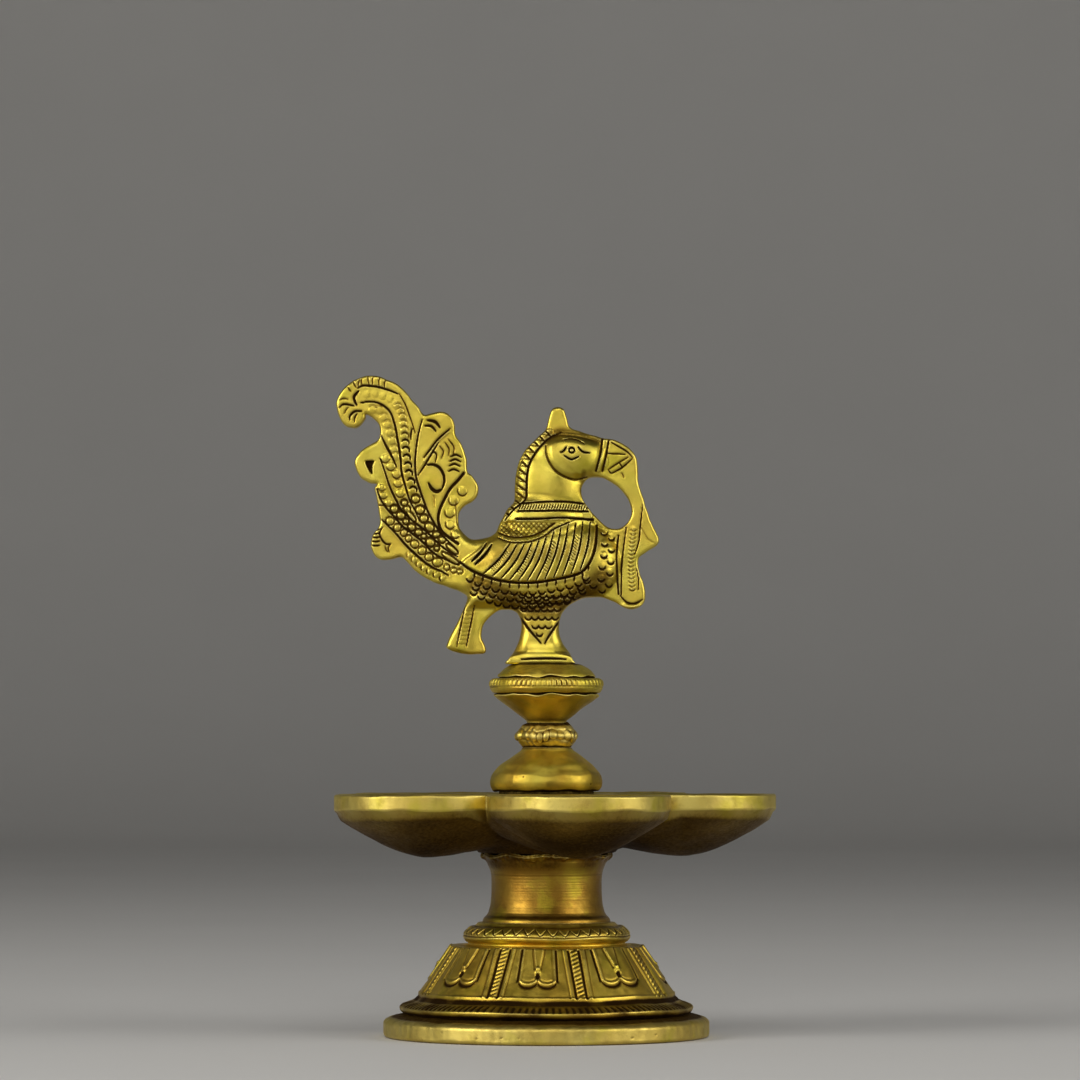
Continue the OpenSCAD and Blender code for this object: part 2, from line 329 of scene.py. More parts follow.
GOLD = (0.60, 0.49, 0.070, 1)
PALE = (0.58, 0.465, 0.120, 1)
BUFF = (0.53, 0.39, 0.085, 1)
RICH = (0.66, 0.49, 0.070, 1)
AMBER = (0.58, 0.38, 0.045, 1)
WARM = (0.57, 0.41, 0.052, 1)
OLIVE = (0.42, 0.36, 0.026, 1)
RED = (0.25, 0.126, 0.016, 1)
ROSE = (0.34, 0.208, 0.030, 1)
BROWN = (0.29, 0.18, 0.024, 1)
RUBBED_AND_HIGHLIGHT = (0.82, 0.72, 0.25, 1)
BROWN_STAIN_AND_SHADE = (0.120, 0.058, 0.006, 1)
DARK_GRIME_AND_SHADE = (0.030, 0.014, 0.003, 1)


def brass(name, main, second, roughness, brush=0.0, stain=0.35):
    """Old polished brass: three tones, brown stains, black grime in the cuts, painted shade carried with
    the grime, and rubbed edges that also paint a highlight.
    """
    n = Nodes(name)
    colour = n.mix(n.span(n.noise(85), 0.36, 0.66), main, second)
    colour = n.mix(n.span(n.noise(140, 4), 0.5, 0.74, 0, 0.8), colour, OLIVE)
    blotch = n.span(n.noise(260, 7, 0.66), 0.52, 0.76, 0, stain)
    colour = n.mix(blotch, colour, BROWN_STAIN_AND_SHADE)
    grime = n.attribute("grime")
    mottle = n.span(n.noise(1500, 4), 0.3, 0.7, -0.09, 0.09)
    dirt_and_shade = n.math("MULTIPLY", n.span(n.math("ADD", grime, mottle), 0.42, 0.85), n.span(grime, 0, 0.2))
    # The grime values bring both dirt and painted shade: the colour turns brown, then near black.
    colour = n.mix(n.span(grime, 0.0, 0.6, 0, 0.9), colour, BROWN_STAIN_AND_SHADE)
    colour = n.mix(dirt_and_shade, colour, DARK_GRIME_AND_SHADE)
    # Rubbed edges, lightened also as a painted highlight on every edge and bead.
    edges = n.span(n.attribute("wear_and_highlight"), 0.5, 2.6, 0, 0.6)
    colour = n.mix(n.math("MULTIPLY", edges, n.math("SUBTRACT", 1.0, dirt_and_shade)), colour, RUBBED_AND_HIGHLIGHT)
    n.feed(n.shader.inputs["Base Color"], colour)
    n.feed(n.shader.inputs["Metallic"], 1.0)

    rough = n.math("ADD", n.span(n.noise(600, 5, 0.6), 0.3, 0.7, roughness - 0.06, roughness + 0.10),
                   n.math("MULTIPLY", dirt_and_shade, 0.35))
    rough = n.math("ADD", rough, n.math("MULTIPLY", blotch, 0.25))
    n.feed(n.shader.inputs["Roughness"], rough)

    normal = n.bump(0.22, 0.00005, n.noise(2600, 4, 0.6))
    normal = n.bump(0.12, 0.0004, n.noise(330, 3), normal)
    if brush:
        lines = n.add("ShaderNodeMapping", {"Vector": n.place, "Scale": (60, 60, 5200)}).outputs["Vector"]
        normal = n.bump(brush, 0.00008, n.noise(1, 3, 0.6, lines), normal)
    n.feed(n.shader.inputs["Normal"], normal)
    return n.material


cast_brass = brass("aged_cast_brass", GOLD, AMBER, 0.46)
engraved_brass = brass("aged_engraved_brass", RICH, AMBER, 0.38, stain=0.45)
turned_brass = brass("aged_turned_brass", RED, ROSE, 0.38, brush=0.4)
tray_brass = brass("aged_tray_brass", PALE, BUFF, 0.44, stain=0.5)
dull_brass = brass("aged_dull_brass", WARM, BROWN, 0.44, stain=0.7)
peacock_brass = brass("aged_peacock_brass", GOLD, WARM, 0.37, stain=0.18)


def finish_piece(piece, body, node, material):
    """Gives a piece its material and body, and hides the CAD node that it stands for."""
    piece.data.materials.append(material)
    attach(piece, body)
    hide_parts(node)


# ----------------------------------------------------------------- pedestal


def foot_ring():
    """Heavy ring that the lamp stands on, with a shelf under the bell darkened by residue and painted
    shadow.
    """
    wide, _, top = corners("foot_ring")[1]
    inner = wide - 7.5
    outline = closed_outline(0.22, [
        (inner, 0, 0), (wide - 0.5, 0, 0.5), (wide, 0.6, 0.5), (wide, top - 1.7, 0.5),
        (wide - 0.8, top - 0.95, 0.4), (inner + 3.2, top - 0.1, 0.3), (inner, top, 0),
    ], 2.0)

    def shape(r, z, phi, places):
        side = smoothstep(0.3, 1.2, z)
        swell = (0.10 * waves(places, 9, 1) + 0.035 * waves(places, 2.2, 2)) * side
        pits = spots(phi, z, r, 12, (0.8, 3.8), 0.28, 3)
        # The shelf under the bell's moulding has brown residue and painted shadow; the face the ring stands
        # on is darker too.
        shelf = smoothstep(top - 1.3, top - 0.6, z) * smoothstep(inner + 6.8, inner + 5.0, r)
        under = 1 - smoothstep(0.15, 0.5, z)
        return swell - 0.14 * pits, 0, 0.4 * pits + 0.75 * shelf + 0.5 * under

    piece = lathe("foot_ring_cast", outline, 900, shape)
    finish_piece(piece, "pedestal", "foot_ring", tray_brass)


PANELS = 8
PANEL = 2 * math.pi / PANELS
PANEL_TURN = math.radians(-4.5)  # the first tongue's middle, from the front


def panel_angle(phi):
    """Angle from the middle of the nearest tongue, with the engraver's uneven spacing."""
    shifted = phi - PANEL_TURN
    shifted = shifted + math.radians(2.4) * np.sin(3 * shifted)
    return np.mod(shifted + PANEL / 2, PANEL) - PANEL / 2


def panel_work(r, z, phi, foot, head):
    """Height and grime of the tongues and beaded strips on the pedestal's cone."""
    across = panel_angle(phi) * r
    on = smoothstep(foot, foot + 0.3, z) * smoothstep(head, head - 0.2, z)
    side = np.abs(across)
    half = math.radians(10.5) * r

    # A tongue that ends in two scallops, with a line along its edge
    scallop = np.sqrt(np.clip(1 - ((side - half / 2) / (half / 2)) ** 2, 0, 1))
    bottom = foot + 4.4 - 1.5 * scallop
    edge = np.minimum(half - side, (z - bottom) * 0.9)
    tongue = smoothstep(0, 0.35, edge)
    outline = bump(edge, -0.22, 0.5)
    inner = bump(edge, 0.85, 0.3)
    height = 0.26 * tongue - 0.36 * outline - 0.10 * inner
    grime = 0.95 * outline + 0.25 * inner

    # Its middle rib, which ends in a bead over a drilled pit
    fall = (z - foot) / (head - foot)
    bead_z = foot + 6.2
    rib_half = 0.35 + 0.75 * smoothstep(0.5, 1.0, fall)
    rib = smoothstep(rib_half + 0.25, rib_half - 0.1, side) * smoothstep(bead_z, bead_z + 0.5, z)
    beside = bump(side, rib_half + 0.4, 0.38) * smoothstep(bead_z, bead_z + 0.5, z)
    height += 0.30 * rib - 0.20 * beside
    grime += 0.5 * beside
    bead = 1 - smoothstep(0.45, 1.0, np.hypot(across, z - bead_z))
    pit = 1 - smoothstep(0.35, 0.75, np.hypot(across, z - bead_z + 1.1))
    height += 0.30 * bead - 0.55 * pit
    grime += 1.1 * pit

    # The strip halfway between two tongues: a column of slanting beads in a sunk channel
    from_strip = (PANEL / 2 - np.abs(panel_angle(phi))) * r * np.sign(panel_angle(phi))
    off = np.abs(from_strip)
    bead_pitch = 0.88
    channel = smoothstep(1.75, 1.45, off)
    groove = bump(off, 1.32, 0.58)
    slant = (z + 0.35 * from_strip) / bead_pitch
    beads = np.sqrt(np.clip(1 - (2 * np.abs(slant - np.round(slant))) ** 2, 0, 1))
    column = smoothstep(1.0, 0.65, off)
    height += -0.12 * channel - 0.42 * groove + column * (0.34 * beads - 0.14)
    grime += 0.95 * groove + 0.55 * column * (1 - beads)
    rib_beside = bump(off, 2.35, 0.45)
    groove_beside = bump(off, 2.95, 0.3)
    height += 0.20 * rib_beside - 0.16 * groove_beside
    grime += 0.45 * groove_beside
    return on * height, on * np.clip(grime, 0, 1.1)


def mill_moulding(height, grime, z, phi, bottom):
    """Height and grime with the notches on the upper slope of the bottom moulding."""
    notch = 0.5 + 0.5 * np.cos(131 * phi + 0.6 * np.sin(7 * phi))
    slope = smoothstep(bottom + 4.2, bottom + 4.6, z) * smoothstep(bottom + 5.6, bottom + 5.2, z)
    height = height - 0.30 * slope * notch ** 2
    return height, grime + 0.75 * slope * notch ** 2 + 0.75 * bump(z, bottom + 2.9, 0.6)


def cut_zigzag(height, grime, z, phi, low):
    """Height and grime with the collar's zigzag between its two lines."""
    saw = np.abs(np.mod(phi * 42 / (2 * math.pi), 1) - 0.5) * 2
    zigzag = bump(z, low + 1.5 * saw, 0.34) * smoothstep(low - 0.5, low, z)
    zigzag = zigzag * smoothstep(low + 2.0, low + 1.7, z)
    ring = bump(z, low - 0.35, 0.26) + bump(z, low + 1.95, 0.3)
    return height - 0.26 * zigzag - 0.20 * ring, grime + 0.7 * zigzag + 0.6 * ring


def pedestal_bell():
    """Hollow bell: milled moulding, cone of worked panels and zigzag collar."""
    low, high = corners("pedestal_bell")
    bottom, top, rope = low[2], high[2], high[0]
    neck_seat = corners("pedestal_neck")[1][0] + 0.8
    cone_foot, cone_head = bottom + 6.2, top - 5.3
    foot_r, head_r = rope - 4.1, rope - 11.9
    collar_r, groove_r = rope - 14.4, rope - 15.7
    lip_r, wall = rope - 3.85, 2.4
    outline = closed_outline(0.22, [
        (lip_r - 2, bottom, 0), (lip_r, bottom, 0.2), (lip_r, bottom + 2.5, 0),
        (rope - 1.3, bottom + 2.5, 0.2), (rope - 0.3, bottom + 3.2, 0.4), (rope, bottom + 4.1, 0.4),
        (rope - 0.7, bottom + 4.75, 0.4), (rope - 3.1, bottom + 5.55, 0.3), (rope - 3.5, cone_foot, 0.2),
        (foot_r, cone_foot + 0.5, 0.2), (head_r, cone_head, 0.35), (groove_r, cone_head + 0.35, 0.25),
        (groove_r, cone_head + 0.7, 0.2), (collar_r - 0.7, cone_head + 0.95, 0.3),
        (collar_r, cone_head + 1.8, 0.6), (collar_r - 0.2, cone_head + 3.0, 0.6),
        (collar_r - 1.6, cone_head + 4.3, 0.6), (neck_seat + 0.5, cone_head + 4.7, 0.3),
        (neck_seat, top, 0.2), (SPIGOT_HOLE_R, top, 0),
    ], 1.2, [
        (SPIGOT_HOLE_R, top - 3, 0.1), (groove_r - wall - 1.5, top - 3, 0.4),
        (groove_r - wall, cone_head - 1, 1), (foot_r - wall, cone_foot, 1),
    ])

    def shape(r, z, phi, places):
        skin = smoothstep(foot_r - wall - 0.2, foot_r - wall + 0.6, r + (z - cone_foot) * 0.65)
        outer = smoothstep(neck_seat - 1.5, neck_seat, r) * skin
        height, grime = panel_work(r, z, phi, cone_foot + 0.9, cone_head)
        # Sunk brown band and bright line under the panels
        band = smoothstep(cone_foot - 0.6, cone_foot - 0.2, z)
        band = band * smoothstep(cone_foot + 0.8, cone_foot + 0.45, z)
        line = bump(z, cone_foot + 1.15, 0.32)
        height = height - 0.30 * band + 0.24 * line
        grime = grime + 0.85 * band * (0.75 + 0.25 * waves(places, 7, 11))
        height, grime = mill_moulding(height, grime, z, phi, bottom)
        height, grime = cut_zigzag(height, grime, z, phi, cone_head + 2.7)
        grime = grime + 1.0 * bump(z, cone_head + 0.5, 0.45)
        grime = grime + 0.4 * smoothstep(top - 1.0, top - 0.5, z)
        low_part = smoothstep(cone_foot + 1.6, cone_foot - 0.2, z)
        grime = grime + 0.08 + 0.07 * waves(places, 9, 15) + low_part * (0.26 + 0.14 * waves(places, 5, 16))
        swell = 0.85 * height + 0.09 * waves(places, 11, 12) + 0.03 * waves(places, 3, 13)
        lift = 0.10 * round_waves(phi, 5, 14) * outer
        return outer * swell, lift, outer * grime

    piece = lathe("pedestal_bell_cast", outline, 960, shape)
    finish_piece(piece, "pedestal", "pedestal_bell", engraved_brass)


def pedestal_neck():
    """Turned neck: spigot in the bell, plain shaft, and the ragged flange under the tray."""
    low, high = corners("pedestal_neck")
    bottom, top, flange = low[2], high[2], high[0]
    base = corners("pedestal_bell")[1][2]
    bore_end = corners("tie_stud")[0][2] - 1.5
    shaft, core = flange - 2.2, 0.4
    outline = np.concatenate([
        rounded([(core, bottom, 0), (SPIGOT_R, bottom, 0.3), (SPIGOT_R, base, 0), (flange - 0.2, base, 0.2),
                 (flange - 0.4, base + 0.9, 0.35), (shaft + 0.75, base + 1.9, 0.9),
                 (shaft + 0.1, base + 4.2, 1.4), (shaft - 0.1, base + 8, 1.5), (shaft, top - 4.6, 1.2),
                 (flange - 0.9, top - 1.6, 0.6), (flange, top - 0.9, 0.3),
                 (flange - 0.1, top - 0.1, 0.2), (STUD_HOLE_R, top, 0)], 0.24),
        rounded([(STUD_HOLE_R, top, 0), (STUD_HOLE_R, bore_end, 0.1), (core, bore_end, 0)], 1.5),
        rounded([(core, bore_end, 0), (core, bottom, 0)], 4),
    ])

    def shape(r, z, phi, places):
        outer = smoothstep(shaft - 0.6, shaft - 0.3, r)
        rng = np.random.default_rng(21)
        turning = sum(np.sin(z * k + rng.uniform(0, 6)) for k in (9, 14, 21, 31)) * 0.008
        rough = smoothstep(top - 2.4, top - 1.2, z)
        ragged = 0.22 * waves(places, 4, 22) + 0.10 * waves(places, 1.4, 23)
        swell = turning + rough * ragged + 0.05 * waves(places, 12, 24)
        shade = smoothstep(top - 6.0, top - 2.4, z) * (0.50 + 0.12 * waves(places, 10, 25))
        lines = 0.35 * bump(z, base + 1.35, 0.35) + 0.3 * bump(z, top - 5.0, 0.3)
        lines = lines + 0.7 * bump(z, base + 0.1, 0.3)
        return outer * swell, 0.18 * rough * round_waves(phi, 9, 26), outer * (shade + lines)

    piece = lathe("pedestal_neck_turned", outline, 360, shape)
    finish_piece(piece, "pedestal", "pedestal_neck", turned_brass)


# --------------------------------------------------------------------- tray

LOBES = 5
LOBE_TURN = math.radians(13)  # the first lobe's middle, from the front
LOBE_PITCH_R = 32.3  # from the lamp's axis to a lobe's middle
LOBE_R = 20.7
RIM_W, RIM_H = 2.5, 3.6


def soft_min(a, b, width):
    """The lesser of two heights, with the corner between them rounded."""
    h = np.clip(0.5 + 0.5 * (b - a) / width, 0, 1)
    return b * (1 - h) + a * h - width * h * (1 - h)


class TrayForm:
    """Radii and heights of the tray at each angle round the lamp."""

    def __init__(self, count):
        self.bottom, self.top = (corner[2] for corner in corners("oil_tray"))
        neck = corners("pedestal_neck")[1]
        self.seat_r, self.seat_z = neck[0] + 0.5, neck[2]
        self.well_r = LOBE_R - RIM_W
        self.phi = angles(count)
        self.off = np.mod(self.phi - LOBE_TURN + math.pi / LOBES, 2 * math.pi / LOBES) - math.pi / LOBES
        self.middle = LOBE_PITCH_R * np.cos(self.off)
        flats = 0.4 * facets(self.phi, LOBE_R, 31, 31)
        self.rim = self.middle + self.half_chord(LOBE_R) - flats + 0.07 * round_waves(self.phi, 17, 32)
        self.lower_edge = (self.top - RIM_H + 0.20 * round_waves(self.phi, 13, 33)
                           + 0.07 * round_waves(self.phi, 41, 34))

    def half_chord(self, circle):
        """Half the length that a circle round a lobe's middle cuts from each ray."""
        return np.sqrt(np.maximum(0.6, circle ** 2 - (LOBE_PITCH_R * np.sin(self.off)) ** 2))

    def lobe_distance(self, r):
        """Distance from the nearest lobe's middle."""
        return np.sqrt(r * r + LOBE_PITCH_R ** 2 - 2 * r * LOBE_PITCH_R * np.cos(self.off))

    def inward(self, r):
        """1 straight inward from a lobe's middle, falling to 0 at its sides."""
        gap = np.clip(LOBE_PITCH_R - r * np.cos(self.off), 0, None)
        return gap / np.maximum(0.1, self.lobe_distance(r))

    def under_z(self, r):
        """Height of the underside: round bowls that run into the hub's cone."""
        bowl = self.bottom + 9.1 * (self.lobe_distance(r) * (1 - 0.5 * self.inward(r)) / 20) ** 1.55
        hub = self.seat_z + 10.4 * np.clip((r - self.seat_r) / 18.8, 0, None) ** 0.85
        return soft_min(bowl, hub, 1.0)

    def well_z(self, r):
        """Height of the wells and the land between them."""
        t = self.lobe_distance(r) / self.well_r
        deep = self.bottom + 2.5
        well = deep + (self.top - deep) * t ** (1.9 + 1.3 * self.inward(r))
        return soft_min(well, self.top + 0 * r, 0.7)


def under_rings(form):
    """Radius, height and painted shade of the hub's underside, then of the bowls out to the rim's lower
    edge.
    """
    # The hub's underside and the bowls under the tray carry painted shade.
    for r in np.linspace(STUD_HOLE_R, form.seat_r - 0.5, 8):
        yield r, form.seat_z, 0.4
    for t in np.linspace(0, 1, 84):
        r = form.seat_r + (form.rim - 0.25 - form.seat_r) * t
        z = form.under_z(r)
        z = form.seat_z + (z - form.seat_z) * smoothstep(0, 0.03, t)
        z = z + (form.lower_edge - z) * smoothstep(0.965, 1, t)
        crease = bump(np.abs(form.off) * r, math.pi / LOBES * r, 1.6) * smoothstep(0.1, 0.5, t)
        # Painted shade: darkest away from the rim and along the creases between bowls.
        shade = 0.30 + 0.34 * smoothstep(1.0, 0.95, t) + 0.16 * smoothstep(0.95, 0.6, t) + 0.10 * crease
        yield r, z, shade


def rim_rings(form):
    """Radius, height and grime of the filed rim, with a soft arris above and below."""
    for t in np.linspace(0.06, 0.94, 14):
        arris = 0.35 * (np.clip((0.12 - t) / 0.12, 0, 1) ** 2 + np.clip((t - 0.88) / 0.12, 0, 1) ** 2)
        yield form.rim - arris, form.lower_edge + (form.top - form.lower_edge) * t, 0


def top_rings(form):
    """Radius, height and grime of the rim's top, the wells, the hub's land and its hole."""
    hub_r = corners("hub_washer")[1][0] + 1.0
    for t in np.linspace(0, 1, 5):
        outer, inner = form.rim - 0.4, form.middle + form.half_chord(form.well_r + 0.4)
        yield outer + (np.minimum(inner, outer - 0.1) - outer) * t, form.top, 0
    for t in np.linspace(1, -1, 110):
        r = form.middle + form.half_chord(form.well_r) * math.copysign(abs(t) ** 0.85, t)
        inside = smoothstep(form.well_r, form.well_r - 2, form.lobe_distance(r))
        yield r, form.well_z(r), 0.30 * inside
    hub_edge = form.middle - form.half_chord(form.well_r + 0.3)
    for t in np.linspace(0, 1, 10):
        yield hub_edge + (hub_r - hub_edge) * t, form.top, 0.25 * t
    for r in np.linspace(hub_r - 0.5, STUD_HOLE_R, 5):
        yield r, form.top, 0.45
    for z in (form.top - 4, form.seat_z + 4):
        yield STUD_HOLE_R, z, 0.5


def oil_tray():
    """Five scooped wells round a flat hub, as one closed row of rings from the hub's hole outward."""
    form = TrayForm(720)
    rings = [*under_rings(form), *rim_rings(form), *top_rings(form)]
    r, z, grime = (np.array([ring[k] + 0 * form.phi for ring in rings]) for k in range(3))
    points = np.stack([r * np.sin(form.phi), -r * np.cos(form.phi), z], -1)
    rough = 0.08 * waves(points, 11, 35) + 0.03 * waves(points, 4, 36)
    points[..., 2] += rough * smoothstep(form.seat_r + 1, form.seat_r + 6, r)
    stain = 0.10 * waves(points, 14, 37) * (grime > 0.05)
    faces = ring_faces(len(rings), len(form.phi), closed=True)
    piece = make_mesh("oil_tray_cast", points.reshape(-1, 3), [faces], grime + stain)
    finish_piece(piece, "tray", "oil_tray", tray_brass)


def hub_washer():
    """Thin washer, darkened with painted shadow so that it shows as a dark gap under the finial."""
    low, high = corners("hub_washer")
    base, top, wide = low[2], high[2], high[0]
    outline = closed_outline(0.25, [
        (STUD_HOLE_R, base, 0), (wide, base, 0.2), (wide, top, 0.2), (STUD_HOLE_R, top, 0),
    ], 1)

    def shape(r, z, phi, places):
        rim = smoothstep(8, 10, r)
        # Painted shadow on the washer, darker towards its edge.
        return 0.12 * rim * round_waves(phi, 11, 41), 0, 0.55 * rim + 0.2

    piece = lathe("hub_washer_cut", outline, 240, shape)
    finish_piece(piece, "washer", "hub_washer", dull_brass)


# ------------------------------------------------------------------- finial


def finial_bell():
    """Plain bell with filed sides and an uneven lower lip."""
    low, high = corners("finial_bell")
    base, top, wide = low[2], high[2], high[0]
    outline = closed_outline(0.2, [
        (STUD_R, base, 0), (wide - 0.7, base, 0.4), (wide - 0.1, base + 0.9, 0.6),
        (wide + 0.12, base + 2.2, 0.8), (wide - 0.2, base + 3.7, 0.3), (wide - 0.7, base + 4.5, 0.3),
        (wide - 2.2, base + 6.2, 1), (wide - 5.0, base + 8.15, 1), (wide - 6.9, top - 0.7, 0.3),
        (5.6, top, 0.1), (STUD_R, top, 0),
    ], 2)

    def shape(r, z, phi, places):
        side = smoothstep(wide - 2.4, wide - 0.9, r)
        outer = smoothstep(STUD_R + 2, STUD_R + 3, r)
        swell = -0.22 * facets(phi, wide, 9, 51) * side + 0.10 * waves(places, 7, 52)
        lift = 0.20 * round_waves(phi, 7, 53) * bump(z, base + 3.9, 2.0) * side
        lift = lift + 0.12 * round_waves(phi, 9, 57) * smoothstep(base + 1.2, base, z) * side
        # Painted shadow along the lowest edge, where the bell stands over the washer, and painted shade on
        # the lower side that dulls its highlight; darker at the top under the knop.
        grime = 0.8 * smoothstep(base + 0.5, base + 0.1, z) + 0.5 * smoothstep(top - 0.7, top - 0.2, z)
        grime = grime + 0.24 * smoothstep(base + 5, base + 4, z) + 0.06 * waves(places, 9, 58)
        pits = spots(phi, z, r, 9, (base + 0.8, base + 6), 0.26, 54)
        return outer * (swell - 0.07 * pits), lift, grime + 0.35 * pits

    piece = lathe("finial_bell_cast", outline, 420, shape)
    finish_piece(piece, "finial", "finial_bell", cast_brass)


def beaded_knop():
    """Small ball with a row of worn beads round it."""
    low, high = corners("beaded_knop")
    base, top, wide = low[2], high[2], high[0]
    outline = closed_outline(0.14, [
        (STUD_R, base, 0), (5.4, base, 0.1), (5.7, base + 0.3, 0.2), (6.4, base + 1.1, 0.6),
        (wide - 0.2, base + 2.1, 0.7), (wide - 0.2, base + 3.0, 0.7), (6.3, base + 4.2, 0.6),
        (5.7, base + 5.0, 0.3), (5.0, top - 0.2, 0.2), (4.6, top, 0), (STUD_R, top, 0),
    ], 2)

    def shape(r, z, phi, places):
        turn = phi * 23 / (2 * math.pi) + 0.20 * np.sin(3 * phi) + 0.12 * np.sin(7 * phi + 1)
        across = 2 * np.abs(turn - np.round(turn))
        up = (z - base - 2.7 - 0.3 * np.sin(4 * phi) - 0.15 * np.sin(9 * phi)) / 1.25
        bead = np.sqrt(np.clip(1 - across ** 2 - up ** 2, 0, 1))
        band = smoothstep(1.25, 0.85, np.abs(up))
        outer = smoothstep(STUD_R + 1, STUD_R + 1.5, r)
        depth = 0.7 + 0.3 * np.sin(5 * phi + 2)
        uneven = 0.18 * waves(places, 3.2, 61) + 0.07 * waves(places, 1.3, 63)
        swell = 0.42 * depth * bead - 0.16 * band + uneven
        grime = 0.6 * depth * band * (1 - bead) ** 2 + 0.75 * smoothstep(base + 0.6, base + 0.1, z)
        grime = grime + 0.8 * smoothstep(top - 0.8, top - 0.3, z)
        return outer * swell, 0.15 * round_waves(phi, 5, 62) * band, outer * grime

    piece = lathe("beaded_knop_cast", outline, 600, shape)
    finish_piece(piece, "finial", "beaded_knop", tray_brass)


def beaded_disc():
    """Inverted cone, beaded band and low cap, with ragged lips between them."""
    low, high = corners("beaded_disc")
    base, top, wide = low[2], high[2], high[0]
    stud_top = corners("tie_stud")[1][2]
    cone_top = base + 6.2
    outline = closed_outline(0.19, [
        (STUD_R, base, 0), (4.6, base, 0.1), (4.7, base + 0.5, 0.3), (7.6, base + 2.9, 0.8),
        (12.1, cone_top, 0.15), (12.25, cone_top + 0.3, 0.15), (11.5, cone_top + 0.5, 0.1),
        (11.5, cone_top + 0.7, 0.1), (12.5, cone_top + 0.85, 0.3), (wide, cone_top + 1.9, 0.6),
        (wide, cone_top + 3.3, 0.4), (wide - 0.5, cone_top + 4.0, 0.3), (10.8, cone_top + 4.15, 0.1),
        (10.8, cone_top + 4.4, 0.1), (11.3, cone_top + 4.5, 0.15), (11.1, cone_top + 4.95, 0.25),
        (9.8, top - 1.1, 0.8), (8.4, top - 0.2, 0.5), (7.4, top, 0.2), (SOCKET_R, top, 0),
    ], 2, [(SOCKET_R, top - 4.5, 0.1), (STUD_R, stud_top, 0)])

    def shape(r, z, phi, places):
        beads = 62 * phi + 0.5 * np.sin(4 * phi)
        gap = (0.5 + 0.5 * np.cos(beads + 1.2 * np.sin(2 * phi) * (z - cone_top))) ** 3
        face = smoothstep(wide - 0.9, wide - 0.35, r)
        row = face * smoothstep(cone_top + 2.1, cone_top + 2.5, z)
        row = row * smoothstep(cone_top + 4.0, cone_top + 3.6, z)
        line = face * bump(z, cone_top + 2.15, 0.28)
        grooves = bump(z, cone_top + 0.6, 0.34) + bump(z, cone_top + 4.27, 0.3)
        inside = smoothstep(wide - 0.6, wide - 1.6, r)
        outer = smoothstep(3.4, 4.2, r)
        worn = 0.62 + 0.38 * round_waves(phi, 6, 75)
        swell = row * (0.10 - 0.32 * gap * worn) - 0.14 * line * worn + 0.07 * waves(places, 4, 71)
        edges = bump(z, cone_top + 0.2, 0.9) + bump(z, cone_top + 4.6, 0.9)
        lift = edges * (0.16 * round_waves(phi, 9, 72) + 0.09 * round_waves(phi, 19, 73))
        # The cone under the beaded band is made darker.
        cone_darkening = smoothstep(cone_top - 0.3, cone_top - 1.2, z) * (0.20 + 0.05 * waves(places, 6, 74))
        grime = 0.6 * row * gap * worn + 0.4 * line * worn + 0.95 * inside * grooves + cone_darkening
        grime = grime + 0.7 * smoothstep(top - 0.5, top - 0.1, z) * smoothstep(9.2, 8.2, r)
        return outer * swell, lift, outer * grime

    piece = lathe("beaded_disc_cast", outline, 744, shape)
    finish_piece(piece, "finial", "beaded_disc", cast_brass)


def tie_stud():
    """The threaded rod inside the lamp, as one helical surface closed at both ends."""
    low, high = corners("tie_stud")
    bottom, top, r = low[2], high[2], high[0]
    pitch, depth, count = 1.0, 0.55, 48
    heights = np.arange(bottom + 0.1, top - 0.05, pitch / 8)
    phi = angles(count)
    z = heights[:, None] + 0 * phi
    phase = np.mod(z / pitch - phi / (2 * math.pi), 1)
    radius = r - depth * np.abs(2 * phase - 1)
    ends = np.minimum(z - bottom, top - z)
    radius = np.minimum(radius, r - 0.7 + ends)
    points = np.stack([radius * np.sin(phi), -radius * np.cos(phi), z], -1).reshape(-1, 3)
    points = np.concatenate([points, [[0, 0, bottom], [0, 0, top]]])
    foot_cap = fan(count, 0, len(points) - 2)[:, [1, 0, 2]]
    head_cap = fan(count, (len(heights) - 1) * count, len(points) - 1)
    caps = np.concatenate([foot_cap, head_cap])
    grime = np.concatenate([(0.7 * np.abs(2 * phase - 1)).ravel(), [0.3, 0.3]])
    piece = make_mesh("tie_stud_threaded", points, [ring_faces(len(heights), count), caps], grime)
    finish_piece(piece, "finial", "tie_stud", dull_brass)


# ------------------------------------------------------------------ peacock


REACH = 1.5  # how far outside a closed curve its distance is worked out


